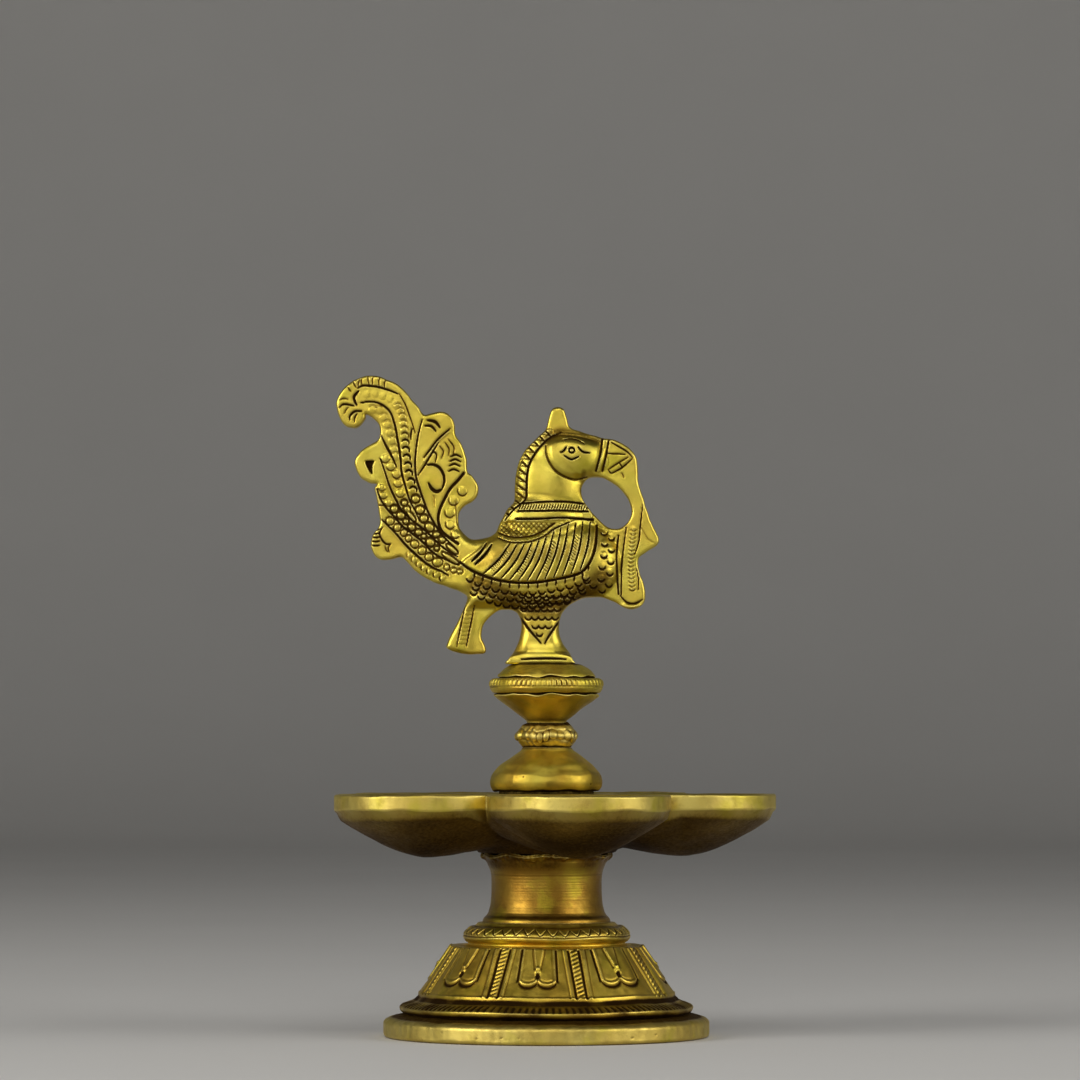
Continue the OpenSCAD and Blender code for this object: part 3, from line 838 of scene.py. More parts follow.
class Relief:
    """Height and grime of the peacock's worked side, on a grid of x and z."""

    def __init__(self, low, high, step):
        self.low, self.step = np.array(low, float), step
        self.x = np.arange(low[0], high[0] + step, step)
        self.z = np.arange(low[1], high[1] + step, step)
        self.height = np.zeros((len(self.x), len(self.z)), np.float32)
        self.grime = np.zeros_like(self.height)

    def window(self, line, reach):
        """Part of the grid within reach of a line, and its x and z."""
        line = np.asarray(line)
        first = np.floor((line.min(0) - reach - self.low) / self.step).astype(int)
        last = np.ceil((line.max(0) + reach - self.low) / self.step).astype(int) + 1
        first = np.clip(first, 0, self.height.shape)
        last = np.clip(last, 0, self.height.shape)
        part = (slice(first[0], last[0]), slice(first[1], last[1]))
        return part, self.x[part[0]][:, None], self.z[part[1]][None, :]

    def near(self, line, reach):
        """Window round a line, with each point's distance from it and share of the way along."""
        part, x, z = self.window(line, reach)
        best = np.full(self.height[part].shape, 1e9)
        share = np.zeros_like(best)
        steps = np.linalg.norm(np.diff(line, axis=0), axis=1)
        run = np.concatenate([[0], np.cumsum(steps)])
        for k, (a, b) in enumerate(zip(line[:-1], line[1:])):
            d = b - a
            t = np.clip(((x - a[0]) * d[0] + (z - a[1]) * d[1]) / max(d @ d, 1e-9), 0, 1)
            gap = np.hypot(x - a[0] - t * d[0], z - a[1] - t * d[1])
            closer = gap < best
            best[closer] = gap[closer]
            share[closer] = ((run[k] + t * steps[k]) / max(run[-1], 1e-9))[closer]
        return part, best, share

    def cut(self, points, width=0.42, depth=0.24, grime=1.0, taper=True):
        """A graver's stroke along a curve, thinner at its ends."""
        line = curve(points, steps=5)
        width = width * 1.3
        part, gap, share = self.near(line, width)
        half = width / 2 * (0.4 + 0.6 * np.sin(math.pi * np.clip(share, 0.02, 0.98)) ** 0.5 if taper else 1)
        groove = 1 - smoothstep(0.1, 1, gap / half)
        self.height[part] = np.minimum(self.height[part], self.height[part] * (1 - groove) - depth * groove)
        self.grime[part] = np.maximum(self.grime[part], grime * (1 - smoothstep(0.45, 1.05, gap / half)))

    def darken(self, points, width, grime):
        """Brown residue and painted shade, with a soft edge along a curve."""
        line = curve(points, steps=5)
        part, gap, _ = self.near(line, width / 2)
        self.grime[part] = np.maximum(self.grime[part], grime * (1 - smoothstep(0.3, 1, gap / (width / 2))))

    def raise_line(self, points, width, height):
        """A rounded rib along a curve."""
        line = curve(points, steps=5)
        part, gap, _ = self.near(line, width / 2 + 0.3)
        self.height[part] += height * np.sqrt(np.clip(1 - (2 * gap / width) ** 2, 0, 1))

    def dome(self, at, r, height, long=1.0, turn=0.0, soft=False):
        """A bead, or a long one turned by an angle. A soft one swells what is under it."""
        part, ball = self.oval(at, r, long, turn)
        if soft:
            self.height[part] += height * ball
            return
        inside = smoothstep(0, 0.45, ball)
        self.height[part] = self.height[part] * (1 - inside) + inside * (height * ball - 0.06)
        self.grime[part] *= 1 - inside

    def scale(self, at, r, height, edge_r, start, end, **stroke):
        """A soft scale: a low swelling, with a cut round part of its edge."""
        self.dome(at, r, height, soft=True)
        self.arc(at, edge_r, start, end, **stroke)

    def beads(self, spots, height=0.34, gap=0.42, grime=0.76):
        """Beads given as (x, z, radius, length, turn in degrees), each in its own dark hollow."""
        for x, z, r, long, turn in spots:
            part, ball = self.oval((x, z), r + gap, (r * long + gap) / (r + gap), math.radians(turn))
            hollow = smoothstep(0.0, 0.32, ball)
            self.height[part] = self.height[part] * (1 - hollow) - 0.26 * hollow
            self.grime[part] = np.maximum(self.grime[part], grime * hollow)
        for x, z, r, long, turn in spots:
            part, ball = self.oval((x, z), r, long, math.radians(turn))
            inside = smoothstep(0.0, 0.3, ball)
            self.height[part] = self.height[part] * (1 - inside) + inside * (height * (1.25 * ball - 0.25))
            self.grime[part] = self.grime[part] * (1 - smoothstep(0.1, 0.5, ball))

    def oval(self, at, r, long, turn):
        """Window round an oval turned by an angle, and a dome's height over it, 1 in its middle."""
        part, x, z = self.window(np.array([at]), r * max(long, 1) + 0.3)
        u = (x - at[0]) * math.cos(turn) + (z - at[1]) * math.sin(turn)
        v = -(x - at[0]) * math.sin(turn) + (z - at[1]) * math.cos(turn)
        return part, np.sqrt(np.clip(1 - (u / (r * long)) ** 2 - (v / r) ** 2, 0, 1))

    def region(self, points, steps=5):
        """Window round a closed curve, with the distance inside it, which is negative outside."""
        line = curve(points, closed=True, steps=steps)
        line = np.concatenate([line, line[:1]])
        part, gap, _ = self.near(line, REACH)
        _, x, z = self.window(line, REACH)
        inside = np.zeros(gap.shape, bool)
        for a, b in zip(line[:-1], line[1:]):
            crossed = (a[1] > z) != (b[1] > z)
            with np.errstate(divide="ignore", invalid="ignore"):
                at = a[0] + (z - a[1]) / (b[1] - a[1]) * (b[0] - a[0])
            inside ^= crossed & (x < at)
        return part, np.where(inside, gap, -gap)

    def lift(self, points, height, soft=0.5):
        """Raises what is inside a closed curve, with a soft edge."""
        part, gap = self.region(points)
        self.height[part] += height * smoothstep(-0.1, soft, gap)

    def arc(self, at, r, start, end, **stroke):
        """A cut along an arc, from one angle to another in degrees."""
        turns = np.radians(np.linspace(start, end, 6))
        self.cut([(at[0] + r * math.cos(a), at[1] + r * math.sin(a)) for a in turns], **stroke)

    def sample(self, values, x, z):
        """Values of a map of the grid at any points."""
        u = np.clip((x - self.low[0]) / self.step, 0, values.shape[0] - 1.001)
        v = np.clip((z - self.low[1]) / self.step, 0, values.shape[1] - 1.001)
        i, j = u.astype(int), v.astype(int)
        u, v = u - i, v - j
        return ((1 - u) * (1 - v) * values[i, j] + u * (1 - v) * values[i + 1, j]
                + (1 - u) * v * values[i, j + 1] + u * v * values[i + 1, j + 1])


BIRD = [
    # Curl of the tail, from its inner end
    (-41.7, 143.4), (-41.9, 142.5), (-42.7, 141.2), (-43.9, 140.4), (-45.1, 140.3), (-46.4, 140.8),
    (-47.5, 142.1), (-48.2, 143.8), (-48.6, 145.7), (-48.2, 147.3), (-47.2, 149.0), (-45.7, 150.5),
    (-43.9, 151.6), (-42.1, 152.2), (-40.4, 152.4), (-38.5, 152.1), (-36.9, 151.5), (-35.3, 150.8),
    (-33.7, 149.8), (-32.2, 148.2), (-30.8, 146.5), (-29.5, 145.0), (-28.3, 143.3),
    # Right leaf and small lobe
    (-26.8, 143.6), (-24.6, 144.0), (-23.0, 143.7), (-21.9, 142.6), (-21.2, 140.8), (-21.0, 138.6),
    (-19.8, 136.8), (-18.9, 134.8), (-18.4, 132.6), (-18.3, 130.2), (-17.2, 129.2), (-16.2, 127.8),
    (-15.7, 126.4), (-16.1, 124.4), (-17.4, 123.1), (-19.2, 122.1), (-20.3, 120.2), (-20.2, 117.6),
    (-19.0, 115.7), (-17.0, 114.5),
    # Back, mane and crest
    (-14.2, 114.8), (-12.0, 115.8), (-10.9, 118.0), (-9.9, 119.9), (-9.0, 121.6), (-7.5, 123.3),
    (-7.3, 126.6), (-6.9, 130.7), (-5.3, 134.6), (-2.8, 137.4), (-0.2, 140.0), (0.5, 142.6),
    (1.3, 144.6), (2.7, 145.1), (4.0, 144.6), (4.7, 142.6), (5.6, 140.3),
    # Brow, beak and strand
    (8.9, 139.1), (12.8, 138.0), (16.0, 137.4), (18.2, 136.3), (20.2, 134.4), (21.0, 132.1), (21.3, 127.5),
    (22.4, 124.0), (24.0, 119.0), (26.0, 114.0), (23.6, 111.9), (21.4, 110.2), (21.4, 107.2),
    (22.5, 104.2), (22.8, 100.6), (21.4, 98.8), (19.6, 98.4), (17.6, 98.9), (15.4, 100.2),
    (12.6, 101.1), (8.9, 101.0), (5.4, 99.4),
    # Pillar, with its foot
    (3.4, 97.0), (2.9, 93.8), (3.5, 91.0), (5.2, 88.5), (6.1, 86.6), (6.2, 85.75), (-1.4, 85.75),
    (-9.0, 85.75), (-8.9, 86.6), (-7.4, 88.8), (-6.0, 92.4), (-5.9, 95.5), (-7.2, 97.8),
    # Hanging flap
    (-9.8, 98.3), (-12.0, 97.5), (-14.3, 95.1), (-15.1, 92.3), (-14.1, 89.6), (-14.3, 88.2), (-16.8, 88.0),
    (-20.0, 88.2), (-22.9, 89.3), (-22.9, 90.6), (-21.4, 93.8), (-19.8, 97.0), (-18.3, 101.0),
    # Underside of the tail and its left flap
    (-20.0, 102.4), (-22.8, 103.5), (-26.2, 104.7), (-28.6, 106.0), (-30.8, 107.7), (-32.4, 109.5),
    (-33.6, 110.4), (-36.2, 109.8), (-38.6, 110.0), (-40.0, 111.2), (-40.6, 113.4), (-40.0, 115.6),
    (-38.8, 117.2), (-38.5, 119.0), (-38.8, 121.5), (-39.2, 124.0), (-39.7, 126.3), (-39.2, 127.3),
    (-40.9, 127.6), (-42.9, 128.8), (-44.1, 131.0), (-44.2, 133.0), (-42.6, 135.2), (-40.6, 136.4),
    (-38.9, 137.5), (-38.4, 139.2), (-38.9, 141.2), (-40.4, 142.8),
]

LOOP = [
    (9.2, 128.3), (11.0, 128.9), (13.4, 128.6), (15.8, 127.2), (17.9, 125.2), (19.3, 122.8), (19.6, 120.3),
    (18.3, 118.0), (16.2, 116.9), (14.0, 117.4), (11.6, 119.6), (9.4, 122.1), (8.2, 124.2), (8.2, 126.6),
]

WING_TOP = [(-11.0, 115.2), (-9.2, 114.4), (-7.3, 114.1), (-3.8, 114.3), (-0.6, 115.6), (1.9, 117.3),
            (5.2, 118.8), (9.2, 119.4)]
WING_LOW = [(-19.9, 109.1), (-17.6, 107.4), (-15.2, 106.2), (-11.4, 104.9), (-7.3, 104.3), (-2.7, 104.3),
            (0.9, 104.8), (5.2, 105.7), (8.2, 106.8), (10.2, 109.4), (11.3, 113.0), (11.6, 117.6)]
LINE_A = [(-38.2, 138.5), (-37.1, 136.0), (-36.2, 134.4), (-35.5, 133.1), (-34.6, 131.3)]
LINE_B = [(-42.9, 146.0), (-41.2, 146.3), (-39.7, 146.2), (-38.2, 145.7), (-36.8, 144.7), (-35.9, 143.5),
          (-35.3, 141.8), (-34.8, 139.9), (-34.4, 137.6), (-34.0, 135.4), (-33.7, 133.2), (-33.5, 130.4),
          (-33.1, 128.5), (-32.5, 126.4), (-31.9, 124.4), (-31.3, 122.9), (-30.3, 121.0), (-29.4, 118.9)]
LINE_C = [(-38.4, 133.1), (-37.7, 131.2), (-37.1, 129.4), (-36.5, 127.5), (-35.6, 125.3), (-34.4, 122.9),
          (-33.4, 121.1), (-31.9, 119.7), (-30.2, 118.2), (-28.4, 116.8), (-26.6, 115.2), (-24.8, 113.4),
          (-22.7, 111.7), (-20.5, 110.4)]
LINE_D = [(-28.7, 142.1), (-29.5, 139.1), (-30.0, 136.2), (-30.3, 133.2), (-30.3, 131.0), (-30.1, 128.8),
          (-29.3, 126.1), (-28.4, 123.5), (-27.4, 120.9), (-26.2, 118.7), (-24.9, 116.6), (-23.1, 114.4),
          (-20.4, 111.7)]
LINE_E = [(-39.1, 126.0), (-38.4, 123.9), (-37.2, 122.0), (-35.8, 120.4), (-34.4, 118.8), (-33.0, 117.3),
          (-31.1, 115.9), (-29.3, 114.5), (-27.9, 113.2), (-26.7, 111.9), (-25.2, 110.7), (-23.4, 109.9),
          (-20.2, 108.5)]
LINE_G = [(-38.0, 119.0), (-35.1, 116.2), (-32.5, 113.2), (-30.2, 111.0), (-28.1, 109.2), (-26.1, 107.9),
          (-24.3, 107.1), (-22.6, 106.1)]


def engrave_curl(work):
    """The tail's rolled tip: a hatched border, curling cuts and soft scales."""
    band = [(-43.6, 149.4), (-42.4, 150.0), (-40.4, 149.9), (-39.0, 149.7), (-37.5, 149.3),
            (-36.0, 148.8), (-34.3, 148.1)]
    work.cut(band, 0.55, 0.30)
    hatches = [((-45.9, 149.7), (-45.1, 148.6)), ((-44.6, 150.9), (-44.0, 149.6)),
               ((-43.2, 151.4), (-43.5, 149.7)), ((-42.6, 151.7), (-42.7, 150.2)),
               ((-41.2, 152.1), (-41.0, 150.3)), ((-40.0, 152.1), (-40.2, 150.3)),
               ((-38.5, 152.0), (-38.7, 150.0)), ((-37.2, 151.5), (-37.4, 149.6))]
    for outer, inner in hatches:
        middle = ((outer[0] + inner[0]) / 2 - 0.12, (outer[1] + inner[1]) / 2)
        work.cut([outer, middle, inner], 0.45, 0.24, 0.8)
    work.cut([(-34.0, 148.1), (-32.6, 145.6), (-31.6, 142.9), (-30.8, 140.6), (-30.3, 139.0)], 0.42,
             0.24, 0.9)
    work.cut([(-43.4, 148.7), (-44.4, 147.5), (-44.3, 146.4), (-43.8, 145.5)], 0.75, 0.38)
    work.cut([(-47.8, 146.6), (-47.0, 147.0), (-45.8, 146.8)], 0.4, 0.2, 0.8)
    work.cut([(-47.8, 144.9), (-46.8, 145.7), (-44.4, 145.3)], 0.5, 0.28)
    work.cut([(-45.7, 145.0), (-46.3, 144.3), (-46.7, 143.5)], 0.4, 0.22, 0.8)
    work.cut([(-42.6, 144.1), (-44.3, 144.0), (-45.4, 142.9), (-45.4, 142.0)], 0.55, 0.34)
    work.cut([(-43.7, 143.5), (-44.2, 142.7), (-44.4, 141.5)], 0.45, 0.26)
    # Scales of the two ribbons where they leave the curl
    for x, z in [(-40.2, 144.5), (-38.8, 144.4), (-37.6, 142.6), (-36.8, 141.0), (-36.2, 139.2),
                 (-35.6, 137.3), (-35.2, 135.3), (-34.9, 133.6)]:
        work.dome((x, z), 0.95, 0.20, soft=True)
        work.arc((x + 0.1, z + 0.1), 0.95, 20, 150, width=0.34, depth=0.13, grime=0.45)
    for x, z in [(-41.5, 148.0), (-39.6, 148.1), (-37.8, 147.6), (-36.2, 146.9), (-35.0, 145.8)]:
        work.dome((x, z), 0.85, 0.10, soft=True)
    work.cut([(-38.2, 138.5), (-37.2, 136.5), (-36.2, 134.7), (-35.3, 132.8), (-34.6, 131.1)], 0.5, 0.28)
    work.cut([(-31.0, 140.1), (-31.3, 138.8), (-31.3, 137.5)], 0.5, 0.28)


def engrave_crescents(work):
    """Overlapping crescents down the tail's right ribbon, cut deeper towards the body."""
    for x, z in [(-34.3, 145.3), (-33.6, 144.2), (-33.2, 142.9), (-33.0, 141.4), (-32.8, 139.9),
                 (-32.7, 138.4), (-32.6, 136.8), (-32.5, 135.1), (-32.3, 133.3), (-32.0, 131.5),
                 (-31.8, 129.7), (-31.3, 127.8), (-30.8, 125.9)]:
        deep = float(smoothstep(143, 133, z))
        work.dome((x, z), 0.98, 0.24, soft=True)
        work.arc((x, z - 0.1), 0.86, -25, 155, width=0.36 + 0.16 * deep, depth=0.14 + 0.18 * deep,
                 grime=0.45 + 0.55 * deep)


def engrave_ribbons(work):
    """The lines of the fan tail, and the beads between them."""
    for line in (LINE_B, LINE_C, LINE_D, LINE_E, LINE_G):
        work.cut(line, 0.6, 0.34)
    work.cut(LINE_A, 0.5, 0.28)
    work.beads([(-30.2, 123.8, 0.84, 1, 0), (-29.2, 121.3, 0.90, 1, 0), (-28.3, 119.3, 0.84, 1, 0),
                (-27.0, 117.3, 0.82, 1.3, -50), (-25.4, 115.6, 0.60, 1.2, 20),
                (-24.1, 114.4, 0.60, 1.2, -45), (-21.8, 112.2, 0.46, 3.4, -42)])
    work.beads([(-32.2, 121.5, 0.62, 1.4, -60), (-31.2, 119.8, 0.42, 3.4, -52)])
    work.beads([(-35.1, 121.5, 0.78, 1, 0), (-33.6, 120.0, 0.80, 1.1, -50), (-32.4, 118.6, 0.56, 1, 0),
                (-31.1, 117.3, 0.70, 1.15, -45), (-29.5, 116.1, 0.66, 1.1, -20),
                (-28.3, 115.2, 0.48, 1, 0), (-26.8, 113.8, 0.82, 1.2, -50), (-25.3, 112.4, 0.48, 1, 0),
                (-22.2, 110.1, 0.52, 4.2, -34)])
    for x, z in [(-38.0, 126.4), (-37.6, 124.6), (-36.4, 122.9)]:
        work.scale((x, z), 0.85, 0.28, 0.85, 190, 330, width=0.34, depth=0.16, grime=0.6)
    work.beads([(-36.1, 118.7, 0.90, 1, 0), (-34.4, 117.2, 0.78, 1.1, 60), (-32.9, 116.0, 0.68, 1.15, 70),
                (-31.8, 114.7, 0.66, 1.15, 70), (-30.4, 113.4, 0.84, 1.1, -40),
                (-28.7, 111.9, 0.86, 1.1, 60), (-27.1, 110.4, 0.88, 1, 0), (-25.1, 109.2, 1.0, 1.15, 0),
                (-23.0, 108.0, 0.56, 1.2, 80), (-21.4, 107.3, 0.58, 1.2, 0),
                (-20.0, 107.0, 0.5, 1.3, 0)], gap=0.26, grime=0.68)
    for k, (x, z) in enumerate([(-31.6, 110.8), (-30.5, 109.7), (-29.4, 108.7), (-28.3, 107.8),
                                (-27.0, 107.0), (-25.5, 106.3), (-24.0, 105.5)]):
        work.dome((x, z), 0.62, 0.26, 1.45, math.radians(65 - 4 * k), soft=True)
        work.arc((x + 0.2, z - 0.05), 0.85, 140, 225, width=0.4, depth=0.18, grime=0.6 + 0.06 * k)
    # Scales of the ribbon left of the middle line
    for x, z in [(-37.2, 133.1), (-35.9, 131.3), (-34.6, 129.5), (-34.2, 127.4), (-33.7, 125.1)]:
        work.scale((x, z), 1.0, 0.26, 1.0, 185, 345, width=0.38, depth=0.17, grime=0.7)
    work.beads([(-32.8, 122.9, 0.62, 1, 0)])


def engrave_leaf(work):
    """The right leaf: veins, hatching and a paisley."""
    work.cut([(-27.5, 142.0), (-25.7, 141.6), (-24.6, 140.3)], 0.75, 0.34)
    work.cut([(-28.1, 140.7), (-26.6, 140.6), (-25.5, 139.4)], 0.6, 0.30)
    work.cut([(-22.2, 140.1), (-25.0, 137.6), (-26.7, 135.4), (-28.3, 133.4)], 0.55, 0.30)
    work.cut([(-24.9, 136.8), (-26.4, 134.4), (-27.9, 131.9), (-29.6, 129.3)], 0.5, 0.28)
    work.raise_line([(-22.6, 139.3), (-25.3, 136.9), (-26.9, 134.4), (-28.2, 132.6)], 0.5, 0.16)
    work.cut([(-26.3, 135.0), (-25.4, 134.0), (-25.7, 132.2)], 0.5, 0.26, 0.9)
    for line in ([(-24.7, 136.0), (-23.8, 134.7), (-24.3, 133.1)],
                 [(-23.4, 136.8), (-22.5, 135.3), (-22.6, 133.8)],
                 [(-22.6, 137.5), (-21.4, 135.8), (-21.5, 134.2)]):
        work.cut(line, 0.45, 0.22, 0.85)
    for k in range(4):
        x, z = -22.2 - 0.15 * k, 133.5 - 1.05 * k - 0.2 * (k == 3)
        work.cut([(x, z), (x + 1.25, z + 0.5), (x + 2.6, z - 0.1)], 0.5, 0.24, 0.95)
    work.cut([(-27.4, 131.7), (-26.0, 131.7), (-24.7, 131.0), (-23.8, 129.4), (-23.6, 127.7),
              (-24.1, 126.1)], 0.75, 0.36)
    work.cut([(-27.2, 127.4), (-26.5, 126.2), (-25.4, 125.5), (-24.3, 125.9)], 0.9, 0.42)
    work.cut([(-26.0, 124.6), (-25.9, 123.2), (-25.8, 121.9)], 0.4, 0.2, 0.6)
    # Small lobe beside it, with a row of round scales
    work.cut([(-19.1, 129.7), (-20.6, 127.9), (-22.1, 126.3), (-23.3, 124.2), (-24.6, 121.4),
              (-25.0, 118.8), (-24.2, 116.4), (-22.5, 114.9), (-20.4, 113.4)], 0.75, 0.38, taper=False)
    for x, z, r in [(-19.4, 125.6, 1.1), (-21.4, 123.4, 1.15), (-22.3, 120.6, 1.15), (-22.2, 117.9, 1.1),
                    (-21.0, 115.6, 1.0)]:
        work.scale((x, z), r, 0.24, r, 150, 330, width=0.42, depth=0.18, grime=0.75)
    work.cut([(-20.9, 123.2), (-20.9, 120.6), (-20.5, 117.8), (-19.0, 115.4)], 0.4, 0.2, 0.6)


def engrave_left_side(work):
    """The left flap with its slot, and the scallop at the tail's lower left."""
    part, gap = work.region([(-42.0, 132.4), (-40.8, 132.8), (-39.6, 132.6), (-40.1, 131.3),
                             (-40.1, 129.4), (-41.1, 130.2)])
    slot = smoothstep(0, 0.4, gap)
    work.height[part] -= 0.9 * slot
    work.grime[part] = np.maximum(work.grime[part], 0.85 * slot)
    for k in range(3):
        work.cut([(-41.6 + 0.5 * k, 132.3), (-41.3 + 0.5 * k, 131.0)], 0.22, 1.0, 1.0)
    work.cut([(-39.0, 122.4), (-38.3, 122.3), (-37.6, 122.3)], 0.35, 0.18, 0.8)
    for k in range(5):
        z = 116.9 - 0.95 * k
        work.cut([(-39.9 - 0.1 * k, z), (-39.1 - 0.1 * k, z - 0.15), (-38.4, z + 0.02)])
    work.cut([(-37.8, 117.2), (-38.5, 115.9), (-38.0, 114.4), (-37.0, 113.4), (-35.9, 113.4)], 0.5, 0.28)
    work.cut([(-37.2, 113.0), (-37.1, 112.2), (-36.6, 111.4)], 0.4, 0.2, 0.8)
    work.cut([(-36.0, 113.3), (-36.5, 112.4), (-36.2, 111.4)], 0.4, 0.2, 0.8)


def engrave_wing(work):
    """The raised wing with its long feathers, some of them barbed."""
    outline = WING_TOP + WING_LOW[::-1]
    work.lift(outline, 0.55, 0.7)
    work.cut(WING_LOW, 0.6, 0.34, taper=False)
    low, top = np.array(WING_LOW), np.array(WING_TOP)
    for k in range(12):
        x = -8.4 + 1.68 * k
        lean = 6.2 - 4.0 * (x + 9) / 20
        start = np.array([x, np.interp(x, top[:, 0], top[:, 1]) - 0.9])
        end = np.array([x - lean, np.interp(x - lean, low[:, 0], low[:, 1]) + 0.5])
        bend = (start + end) / 2 + np.array([0.5, -0.2])
        work.cut([start, bend, end])
        if k % 3 == 1:
            for j in range(11):
                a = start + (end - start) * (0.30 + 0.055 * j)
                work.cut([a + (-0.15, -0.1), a + (-0.5, 0.2), a + (-0.95, 0.8)], 0.15, 0.07, 0.35)
    work.cut([(-13.8, 113.6), (-15.2, 111.4), (-17.2, 109.3)], 0.62, 0.32)
    work.cut([(-12.6, 113.2), (-14.0, 111.0), (-16.4, 108.6)], 0.62, 0.32)


def engrave_collar(work):
    """Two bands round the neck, and the netted patch under them."""
    work.lift([(-8.6, 122.6), (-4.5, 123.2), (3, 123.4), (9.2, 122.6), (10.6, 119.2), (5, 118.8),
               (-2, 118.6), (-8.6, 118.4), (-10.4, 118.6)], 0.45, 0.4)
    work.cut([(-5.6, 122.7), (-1, 123.0), (4, 123.1), (8.4, 122.7)], 0.5, 0.32, taper=False)
    work.cut([(-6.6, 120.9), (-2, 120.9), (3, 121.0), (9.6, 120.9)], 0.4, 0.26, taper=False)
    work.cut([(-7.0, 119.0), (-2, 119.0), (4, 119.3), (10.8, 119.0)], 0.5, 0.32, taper=False)
    for x in np.arange(-6.2, 9.6, 0.62):
        work.cut([(x - 0.18, 121.2), (x + 0.1, 121.9), (x + 0.3, 122.5)], 0.28, 0.16, 0.75)
    patch = [(-10.2, 118.2), (-6, 118.4), (0, 118.4), (2.2, 118.0), (-0.6, 116.4), (-3.8, 115.2),
             (-7.3, 115.0), (-10.6, 115.6)]
    part, gap = work.region(patch)
    _, x, z = work.window(curve(patch, closed=True, steps=5), REACH)
    pitch = 1.15
    one_way, other_way = (bump(np.mod(u / pitch, 1), 0.5, 0.24) for u in (x + z, x - z))
    net = np.maximum(one_way, other_way)
    net = net * smoothstep(0, 0.25, gap)
    work.height[part] -= 0.16 * net
    work.grime[part] = np.maximum(work.grime[part], 0.8 * net)
    work.cut([(p[0], p[1] + 0.75) for p in WING_TOP[:6]], 0.4, 0.24, taper=False)
    band = curve(WING_TOP[:7])
    for t in np.linspace(0, 1, 20):
        work.dome(along(band, t), 0.36, 0.22)
    work.cut([(p[0], p[1] - 0.5) for p in WING_TOP[:7]], 0.36, 0.22, taper=False)


def engrave_belly(work):
    """Dark scales under the wing and on the breast."""
    low = curve(WING_LOW[1:10])
    length = np.sum(np.linalg.norm(np.diff(low, axis=0), axis=1))
    count = int(length / 2.0)
    for k in range(count):
        at = along(low, (k + 0.5) / count)
        work.cut([at + (0.1, -0.3), at + (0.0, -1.3)], 0.5, 0.3)
    for row in range(3):
        for k in range(count):
            at = along(low, (k + 0.5 * (row % 2)) / count)
            at = at - np.array([0.06 * (k - count / 2) * row, 2.0 + 1.55 * row])
            work.scale(at, 0.85, 0.16, 0.8, 185, 345, width=0.52, depth=0.28)
    for x, z in [(13.3, 116.2), (15.0, 115.0), (13.4, 113.6), (15.0, 112.2), (13.2, 110.8), (14.8, 109.4),
                 (12.8, 108.2), (14.6, 106.8), (12.6, 105.4), (14.4, 104.2), (10.8, 103.9), (12.8, 102.9)]:
        work.scale((x, z), 0.85, 0.16, 0.8, 195, 345, width=0.52, depth=0.28)
    for z, first, number in [(101.6, -5.6, 8), (100.2, -4.9, 7)]:
        for k in range(number):
            work.arc((first + 1.6 * k, z), 0.78, 190, 345, width=0.5, depth=0.26)
    work.cut([(16.6, 115.3), (16.2, 111), (16.3, 106), (16.6, 101.8)], 0.5, 0.3, taper=False)


def engrave_strand(work):
    """The string of drops that hangs from the beak down to the breast."""
    for k in range(16):
        z = 116.9 - 0.92 * k
        x = 20.1 - 0.6 * math.sin(math.pi * k / 18)
        work.dome((x, z), 0.62, 0.16, 1.2, soft=True)
        work.arc((x, z + 0.15), 0.72, 205, 335, width=0.3, depth=0.18, grime=0.7)
    work.cut([(18.4, 117.2), (17.7, 112), (17.3, 108), (17.2, 104), (17.2, 101.6)],
             0.42, 0.26, taper=False)
    work.cut([(22.2, 122.4), (21.6, 117), (21.3, 114.0), (20.4, 111.0)], 0.45, 0.26)
    work.cut([(20.8, 107.6), (21.2, 105.2), (21.2, 102.8)], 0.4, 0.22, 0.9)
    work.cut([(17.0, 101.4), (18.6, 99.9), (20.4, 99.7), (22.2, 100.6)], 0.45, 0.28)
    work.cut([(22.0, 117.0), (23.4, 114.6), (25.0, 113.6)], 0.35, 0.16, 0.5)


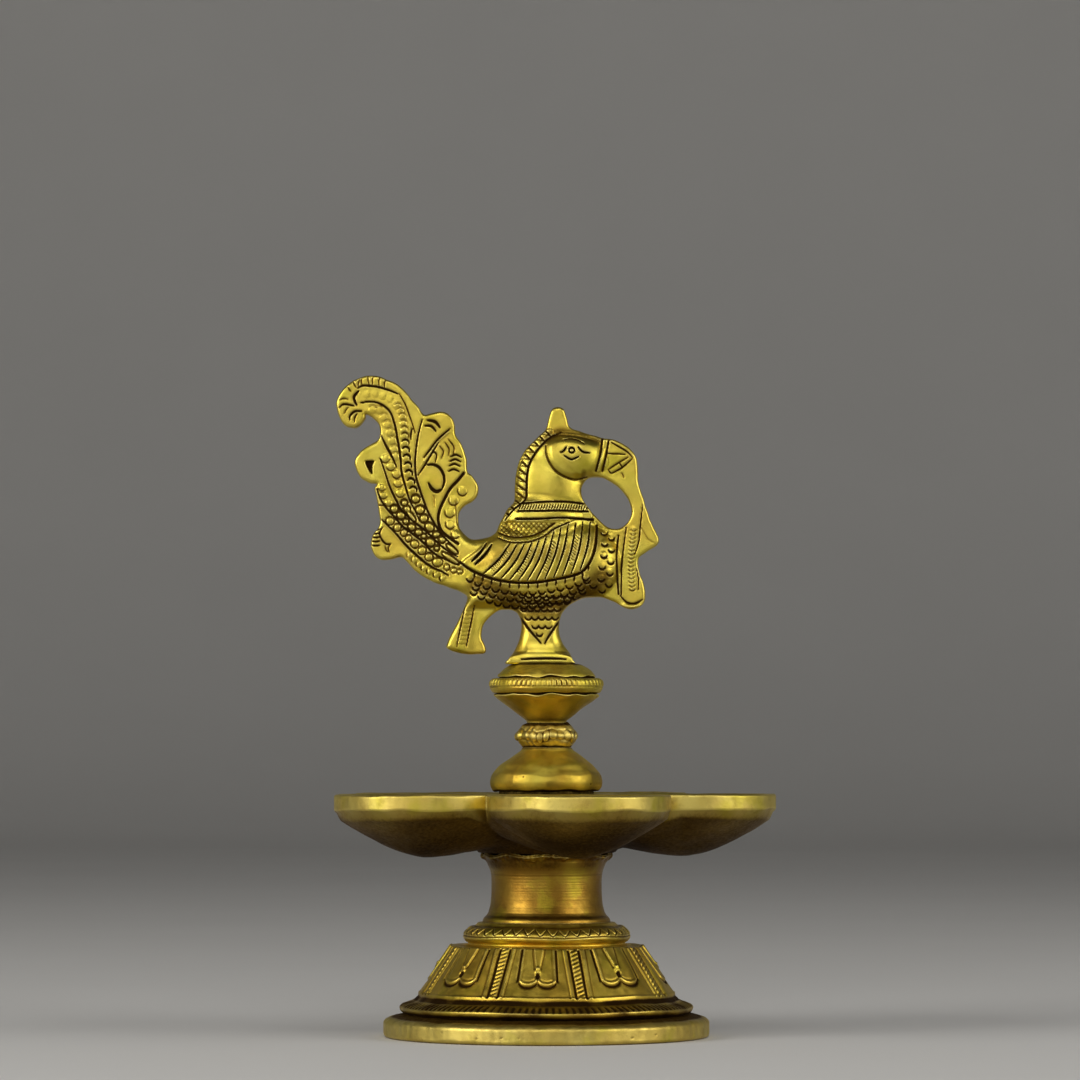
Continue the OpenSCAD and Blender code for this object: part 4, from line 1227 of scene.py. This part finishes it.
def engrave_head(work):
    """The head's oval with its eye, and the banded beak."""
    oval = [(-0.2, 134.8), (0.1, 136.6), (1.6, 137.8), (4.2, 138.1), (8.2, 137.6), (12.2, 136.8),
            (12.6, 134.0), (11.4, 130.8), (9.3, 128.9), (6.8, 128.3), (4.2, 128.9), (2.2, 130.1),
            (0.6, 132.2)]
    work.lift(oval, 0.55, 1.4)
    work.cut([(-0.2, 136.0), (-0.1, 134.0), (0.7, 132.0), (2.2, 130.1), (4.3, 128.8), (6.8, 128.2),
              (9.3, 128.8)], 0.6, 0.30, 0.75)
    work.cut([(0.6, 137.4), (3.2, 138.5), (7.8, 138.1), (12.0, 137.1)], 0.5, 0.2, 0.55)
    work.cut([(3.6, 137.3), (5.4, 137.6), (7.2, 137.3), (8.8, 136.4)], 0.36, 0.2)
    eye, eye_r = (5.8, 134.9), 0.62
    turns = np.linspace(0, 2 * math.pi, 13)
    eye_ring = [(eye[0] + eye_r * math.cos(a), eye[1] + eye_r * math.sin(a)) for a in turns]
    work.cut(eye_ring, 0.36, 0.24, taper=False)
    work.dome(eye, 0.42, 0.2, soft=True)
    work.cut([(3.1, 134.4), (3.9, 134.7), (4.6, 135.8)])
    work.cut([(7.2, 135.8), (8.3, 134.6), (10.0, 134.3)])
    work.cut([(4.0, 133.7), (5.7, 132.8), (7.5, 133.5)])
    work.cut([(12.9, 137.9), (12.4, 134.0), (11.4, 130.2)], 0.5, 0.3, taper=False)
    work.cut([(14.4, 137.4), (13.8, 134.0), (12.9, 130.2)], 0.5, 0.3, taper=False)
    work.raise_line([(13.6, 137.5), (13.1, 134), (12.1, 130.4)], 0.9, 0.2)
    work.cut([(14.9, 136.9), (18.5, 134.8), (19.9, 133.3)], 0.4, 0.24)
    work.cut([(14.3, 134.3), (16.3, 134.2), (18.2, 134.1)], 0.36, 0.22)
    work.cut([(19.8, 133.1), (17.4, 131.0), (15.0, 129.7)], 0.4, 0.24)
    work.cut([(18.9, 133.5), (16.4, 132.0), (14.3, 130.6)], 0.36, 0.22)
    work.cut([(14.3, 130.5), (14.7, 129.9), (15.1, 129.7)], 0.36, 0.22)
    work.cut([(16.9, 132.0), (17.4, 131.3)], 0.36, 0.22)
    work.cut([(17.4, 129.8), (17.9, 128.7)], 0.4, 0.22, 0.8)


def engrave_mane(work):
    """The twisted roll of feathers down the back of the neck."""
    inner = [(3.4, 139.2), (0.8, 137.9), (-1.1, 136.2), (-2.8, 134.0), (-4.0, 131.6), (-4.5, 128.8),
             (-4.6, 126.0), (-4.9, 123.6), (-7.6, 121.2), (-9.6, 118.8)]
    outer = [(0.2, 140.6), (-2.6, 137.6), (-4.4, 135.6), (-5.8, 132.6), (-6.8, 130.0), (-7.2, 127.0),
             (-7.4, 124.0), (-8.6, 121.8), (-9.9, 119.8), (-10.8, 117.8)]
    work.cut(inner, 0.55, 0.34)
    inner, outer = curve(inner), curve(outer)
    middle = [(along(inner, t) + along(outer, t)) / 2 for t in np.linspace(0.05, 0.98, 12)]
    work.raise_line(middle, 1.9, 0.35)
    for k in range(13):
        t = 0.07 + 0.07 * k
        work.cut([along(inner, t + 0.03), along(outer, t - 0.03)], 0.42, 0.28, 0.8)
        work.cut([along(inner, t + 0.035) + (0.1, 0.3), along(outer, t + 0.01)], 0.22, 0.10, 0.4)


def engrave_legs(work):
    """The hanging flap's ribs and the pillar's pointed apron of scales."""
    for x, z in [(-18.8, 99.2), (-16.6, 99.2)]:
        work.cut([(x, z), (x - 0.9, z - 4.5), (x - 1.9, z - 9.6)], 0.45, 0.24)
    for k in range(9):
        z = 98.0 - 0.95 * k
        shift = 0.2 * k
        work.cut([(-18.6 - shift, z), (-17.8 - shift, z - 0.15),
                  (-17.0 - shift, z + 0.05)], 0.24, 0.10, 0.4)
    work.cut([(-6.4, 96.8), (-4.0, 93.6), (-1.3, 90.5)], 0.62, 0.34)
    work.cut([(3.0, 95.6), (1.0, 92.8), (-0.4, 90.4)], 0.62, 0.34)
    for z, first, count in [(98.6, -5.2, 6), (96.6, -4.2, 5), (94.6, -2.6, 3), (92.8, -1.6, 1)]:
        for k in range(count):
            work.arc((first + 1.55 * k, z), 0.75, 190, 345, width=0.5, depth=0.28)
    work.cut([(-5.9, 86.7), (-2, 86.9), (2, 86.9), (4.6, 86.7)], 0.5, 0.36)


def lump(x, z, at, long, wide, height, turn=0.0):
    """Half thickness of a rounded swelling with an oval outline."""
    turn = math.radians(turn)
    u = (x - at[0]) * math.cos(turn) + (z - at[1]) * math.sin(turn)
    v = -(x - at[0]) * math.sin(turn) + (z - at[1]) * math.cos(turn)
    return height * np.sqrt(np.clip(1 - (u / long) ** 2 - (v / wide) ** 2, 0, 1))


def half_thickness(x, z):
    """Half of the peacock's thickness before any engraving."""
    plate = 2.3 - 0.35 * smoothstep(9, 15, x)
    pillar = smoothstep(-11, -9, x) * smoothstep(100, 97, z)
    plate = plate + pillar * (1.7 + 1.4 * smoothstep(91, 86.6, z))
    plate = plate + 0.4 * smoothstep(-16, -20, x) * smoothstep(103, 99, z)
    root = smoothstep(-27, -14, x) * smoothstep(120, 114, z) * smoothstep(98, 101, z) * smoothstep(13, 6, x)
    plate = plate + 2.2 * root
    total = plate
    for swelling in (
        lump(x, z, (-3, 108.5), 17, 11, 7.1, 6),
        lump(x, z, (8, 109), 9.5, 9.5, 6.4),
        lump(x, z, (-1, 119), 10, 7.5, 5.6),
        lump(x, z, (0.5, 127), 8.5, 11, 4.6, 0),
        lump(x, z, (5.2, 133.4), 9.6, 6.4, 4.7, -6),
    ):
        width = 1.2
        h = np.clip(0.5 + 0.5 * (swelling - total) / width, 0, 1)
        total = total * (1 - h) + swelling * h + width * h * (1 - h) * 0.5
    return total


def surface_net(field, axes):
    """Points and quads of the closed surface where a 3-D grid of numbers changes sign."""
    solid = field < 0
    shape = tuple(n - 1 for n in field.shape)
    corner = [np.array((i, j, k)) for i in (0, 1) for j in (0, 1) for k in (0, 1)]
    some, every = np.zeros(shape, bool), np.ones(shape, bool)
    for c in corner:
        part = solid[c[0]:c[0] + shape[0], c[1]:c[1] + shape[1], c[2]:c[2] + shape[2]]
        some |= part
        every &= part
    cells = np.argwhere(some & ~every)
    number = np.full(shape, -1, np.int32)
    number[tuple(cells.T)] = np.arange(len(cells))
    total, hits = np.zeros((len(cells), 3)), np.zeros(len(cells))
    for a in corner:
        for axis in range(3):
            if a[axis]:
                continue
            b = a.copy()
            b[axis] = 1
            near, far = field[tuple((cells + a).T)], field[tuple((cells + b).T)]
            hit = (near < 0) != (far < 0)
            spot = (cells[hit] + a).astype(float)
            spot[:, axis] += near[hit] / (near[hit] - far[hit])
            total[hit] += spot
            hits[hit] += 1
    total /= hits[:, None]
    points = np.stack([np.interp(total[:, k], np.arange(len(axes[k])), axes[k]) for k in range(3)], -1)
    quads = []
    for axis in range(3):
        u, v = (axis + 1) % 3, (axis + 2) % 3
        span = np.arange(field.shape[axis] - 1)
        at = np.argwhere(solid.take(span, axis) != solid.take(span + 1, axis))
        ring = []
        for du, dv in ((1, 1), (0, 1), (0, 0), (1, 0)):
            c = at.copy()
            c[:, u] -= du
            c[:, v] -= dv
            ring.append(number[tuple(c.T)])
        quad = np.stack(ring, -1)
        backwards = ~solid[tuple(at.T)]
        quad[backwards] = quad[backwards][:, ::-1]
        quads.append(quad)
    return points, np.concatenate(quads)


def spread(values, times):
    """A map blurred by averaging each point with its neighbours a number of times."""
    for _ in range(times):
        beside = np.roll(values, 1, 0) + np.roll(values, -1, 0)
        values = (values + beside + np.roll(values, 1, 1) + np.roll(values, -1, 1)) / 5
    return values


def silhouette_distance(work):
    """Distance inside the bird's outline, negative outside and in the loop."""
    distance = np.full(work.height.shape, -REACH)
    part, gap = work.region(BIRD, steps=4)
    distance[part] = gap
    part, gap = work.region(LOOP, steps=4)
    distance[part] = np.minimum(distance[part], -gap)
    return distance


def add_residue_and_shade(work):
    """Brown residue and painted shade on the belly, the wing and the brow, and along the tail's lines."""
    # Painted shade where the body rounds under at the belly and down its right edge, with brown residue.
    work.darken([(-16, 104.2), (-11, 101.8), (-6, 99.6), (-1.5, 98.6), (4, 99.4), (9, 102.6),
                 (12.5, 105.4)], 7.5, 0.54)
    work.darken([(-0.6, 137.0), (2.6, 139.2), (7.4, 138.6), (12, 137.4)], 3.4, 0.5)
    work.darken(LINE_E, 3.4, 0.26)
    work.darken(LINE_C[3:], 3.0, 0.26)
    work.darken(LINE_G, 2.4, 0.24)
    work.darken([(8.6, 130), (8.2, 126.6), (8.2, 124.4), (11.4, 119.9), (14.4, 117.2)], 1.6, 0.40)
    work.darken([(12.2, 118.6), (13.6, 112), (12.4, 105.5)], 2.6, 0.26)
    work.darken([(-15, 109.5), (-10, 110.5), (-3, 111), (4, 111.5), (11, 113)], 6.5, 0.42)
    # A soft brown halo round every dark mark: patina beside the cuts and painted shade beside the relief.
    work.grime = np.maximum(work.grime, 0.36 * spread(work.grime, 14))


def peacock_field(work, y, foot):
    """Numbers on the grid of x, y and z that are negative inside the bird and its tenon.

    Comes with the distance inside the outline at each x and z.
    """
    x, z = work.x[:, None], work.z[None, :]
    half = half_thickness(x, z)
    # Radius of the rounding where a flat side meets the outline
    edge = np.clip(0.75 + (half - 2.3) * 1.05, 0.7, half - 0.15)
    edge = edge + (0.45 - edge) * smoothstep(88.6, 87.2, z)
    places = np.stack(np.broadcast_arrays(x, z), -1)
    half = half + work.height + 0.04 * waves(places, 8, 81) + 0.006 * waves(places, 2, 82)
    distance = silhouette_distance(work) + 0.04 * waves(places, 2.5, 83)

    beyond = (edge - distance)[:, None, :].astype(np.float32)
    above = (np.abs(y)[None, :, None] - (half - edge)[:, None, :]).astype(np.float32)
    field = np.hypot(np.maximum(beyond, 0), np.maximum(above, 0)) + np.minimum(np.maximum(beyond, above), 0)
    field -= edge[:, None, :].astype(np.float32)
    tenon = np.hypot(x, y[None, :])[:, :, None] - TENON_R
    tenon = np.maximum(tenon, np.maximum(foot - z, z - 87)[:, None, :])
    return np.minimum(field, tenon.astype(np.float32)), distance


def peacock():
    """The flat bird with the same work on both sides, on its pillar and tenon."""
    low, high = corners("peacock")
    margin, step = 1.2, 0.18
    work = Relief((low[0] - margin, low[2] - margin), (high[0] + margin, high[2] + margin), step)
    for engrave in (engrave_curl, engrave_crescents, engrave_ribbons, engrave_leaf, engrave_left_side,
                    engrave_wing, engrave_collar, engrave_belly, engrave_strand, engrave_head,
                    engrave_mane, engrave_legs, add_residue_and_shade):
        engrave(work)
    y = np.arange(-9.0, 9.01, 0.3)
    field, distance = peacock_field(work, y, low[2] + 0.1)
    points, quads = surface_net(field, (work.x, y, work.z))
    grime = work.sample(work.grime, points[:, 0], points[:, 2])
    # The outline's edge is clean
    grime = grime * smoothstep(0.0, 0.35, work.sample(distance, points[:, 0], points[:, 2]))
    piece = make_mesh("peacock_cast", points, [quads], grime)
    finish_piece(piece, "finial", "peacock", peacock_brass)


# -------------------------------------------------------------------- stage


def add_floor():
    """Pale round floor that curves up into a wall far from the lamp."""
    wall, height, bend, count = 3.2, 2.6, 1.0, 96
    profile = [(r, 0.0) for r in (0.0, 0.3, 0.8, 1.5, wall - bend)]
    turns = np.radians(range(10, 91, 10))
    profile += [(wall - bend + bend * math.sin(a), bend - bend * math.cos(a)) for a in turns]
    profile.append((wall, height))
    rings = [[(r * math.sin(a), -r * math.cos(a), z) for a in angles(count)] for r, z in profile[1:]]
    points = np.array(rings) / MM
    points = np.concatenate([points.reshape(-1, 3), [[0, 0, 0]]])
    outside = ring_faces(len(profile) - 1, count)[:, ::-1]
    floor = make_mesh("floor", points, [outside, fan(count, 0, len(points) - 1)])
    n = Nodes("pale_floor")
    grey = n.mix(n.noise(6, 3), (0.60, 0.59, 0.57, 1), (0.64, 0.63, 0.61, 1))
    n.feed(n.shader.inputs["Base Color"], grey)
    n.feed(n.shader.inputs["Roughness"], 0.8)
    floor.data.materials.append(n.material)


def add_softbox(name, azimuth, distance, height, width, tall, power, colour=(1, 1, 1)):
    """Area light at an angle round from the camera, aimed at the lamp's middle."""
    light = bpy.data.lights.new(name, "AREA")
    light.shape, light.size, light.size_y = "RECTANGLE", width, tall
    light.energy, light.color = power, colour
    lamp = bpy.data.objects.new(name, light)
    a = math.radians(azimuth)
    lamp.location = (distance * math.sin(a), -distance * math.cos(a), height)
    aim = Vector((0, 0, 0.07)) - lamp.location
    lamp.rotation_euler = aim.to_track_quat("-Z", "Y").to_euler()
    bpy.context.scene.collection.objects.link(lamp)


def add_lights():
    """Two wide softboxes at the sides, two weak fills from the front, and a dim grey world."""
    add_softbox("left_softbox", -56, 1.5, 0.56, 0.85, 0.9, 16.5, (1.0, 0.985, 0.95))
    add_softbox("right_softbox", 62, 1.5, 0.56, 1.2, 0.9, 13, (1.0, 0.985, 0.95))
    add_softbox("high_fill", 4, 1.5, 1.25, 0.9, 0.7, 7.5)
    add_softbox("low_fill", -8, 1.9, 0.52, 0.9, 0.7, 4)
    world = bpy.data.worlds.new("studio")
    world.use_nodes = True
    world.node_tree.nodes["Background"].inputs["Color"].default_value = (0.06, 0.06, 0.062, 1)
    bpy.context.scene.world = world


def add_camera():
    """The photograph's view: nearly level, from the front, with a long lens."""
    camera = bpy.data.cameras.new("camera")
    camera.lens, camera.sensor_width = 166.7, 36
    camera.clip_start = 0.05
    eye = bpy.data.objects.new("camera", camera)
    eye.location = (-0.0015, -1.155, 0.067)
    eye.rotation_euler = (math.radians(92.35), 0, 0)
    bpy.context.scene.collection.objects.link(eye)
    bpy.context.scene.camera = eye


add_camera()
add_lights()
add_floor()
bpy.context.scene.view_settings.view_transform = "Standard"

foot_ring()
pedestal_bell()
pedestal_neck()
oil_tray()
hub_washer()
tie_stud()
finial_bell()
beaded_knop()
beaded_disc()
peacock()
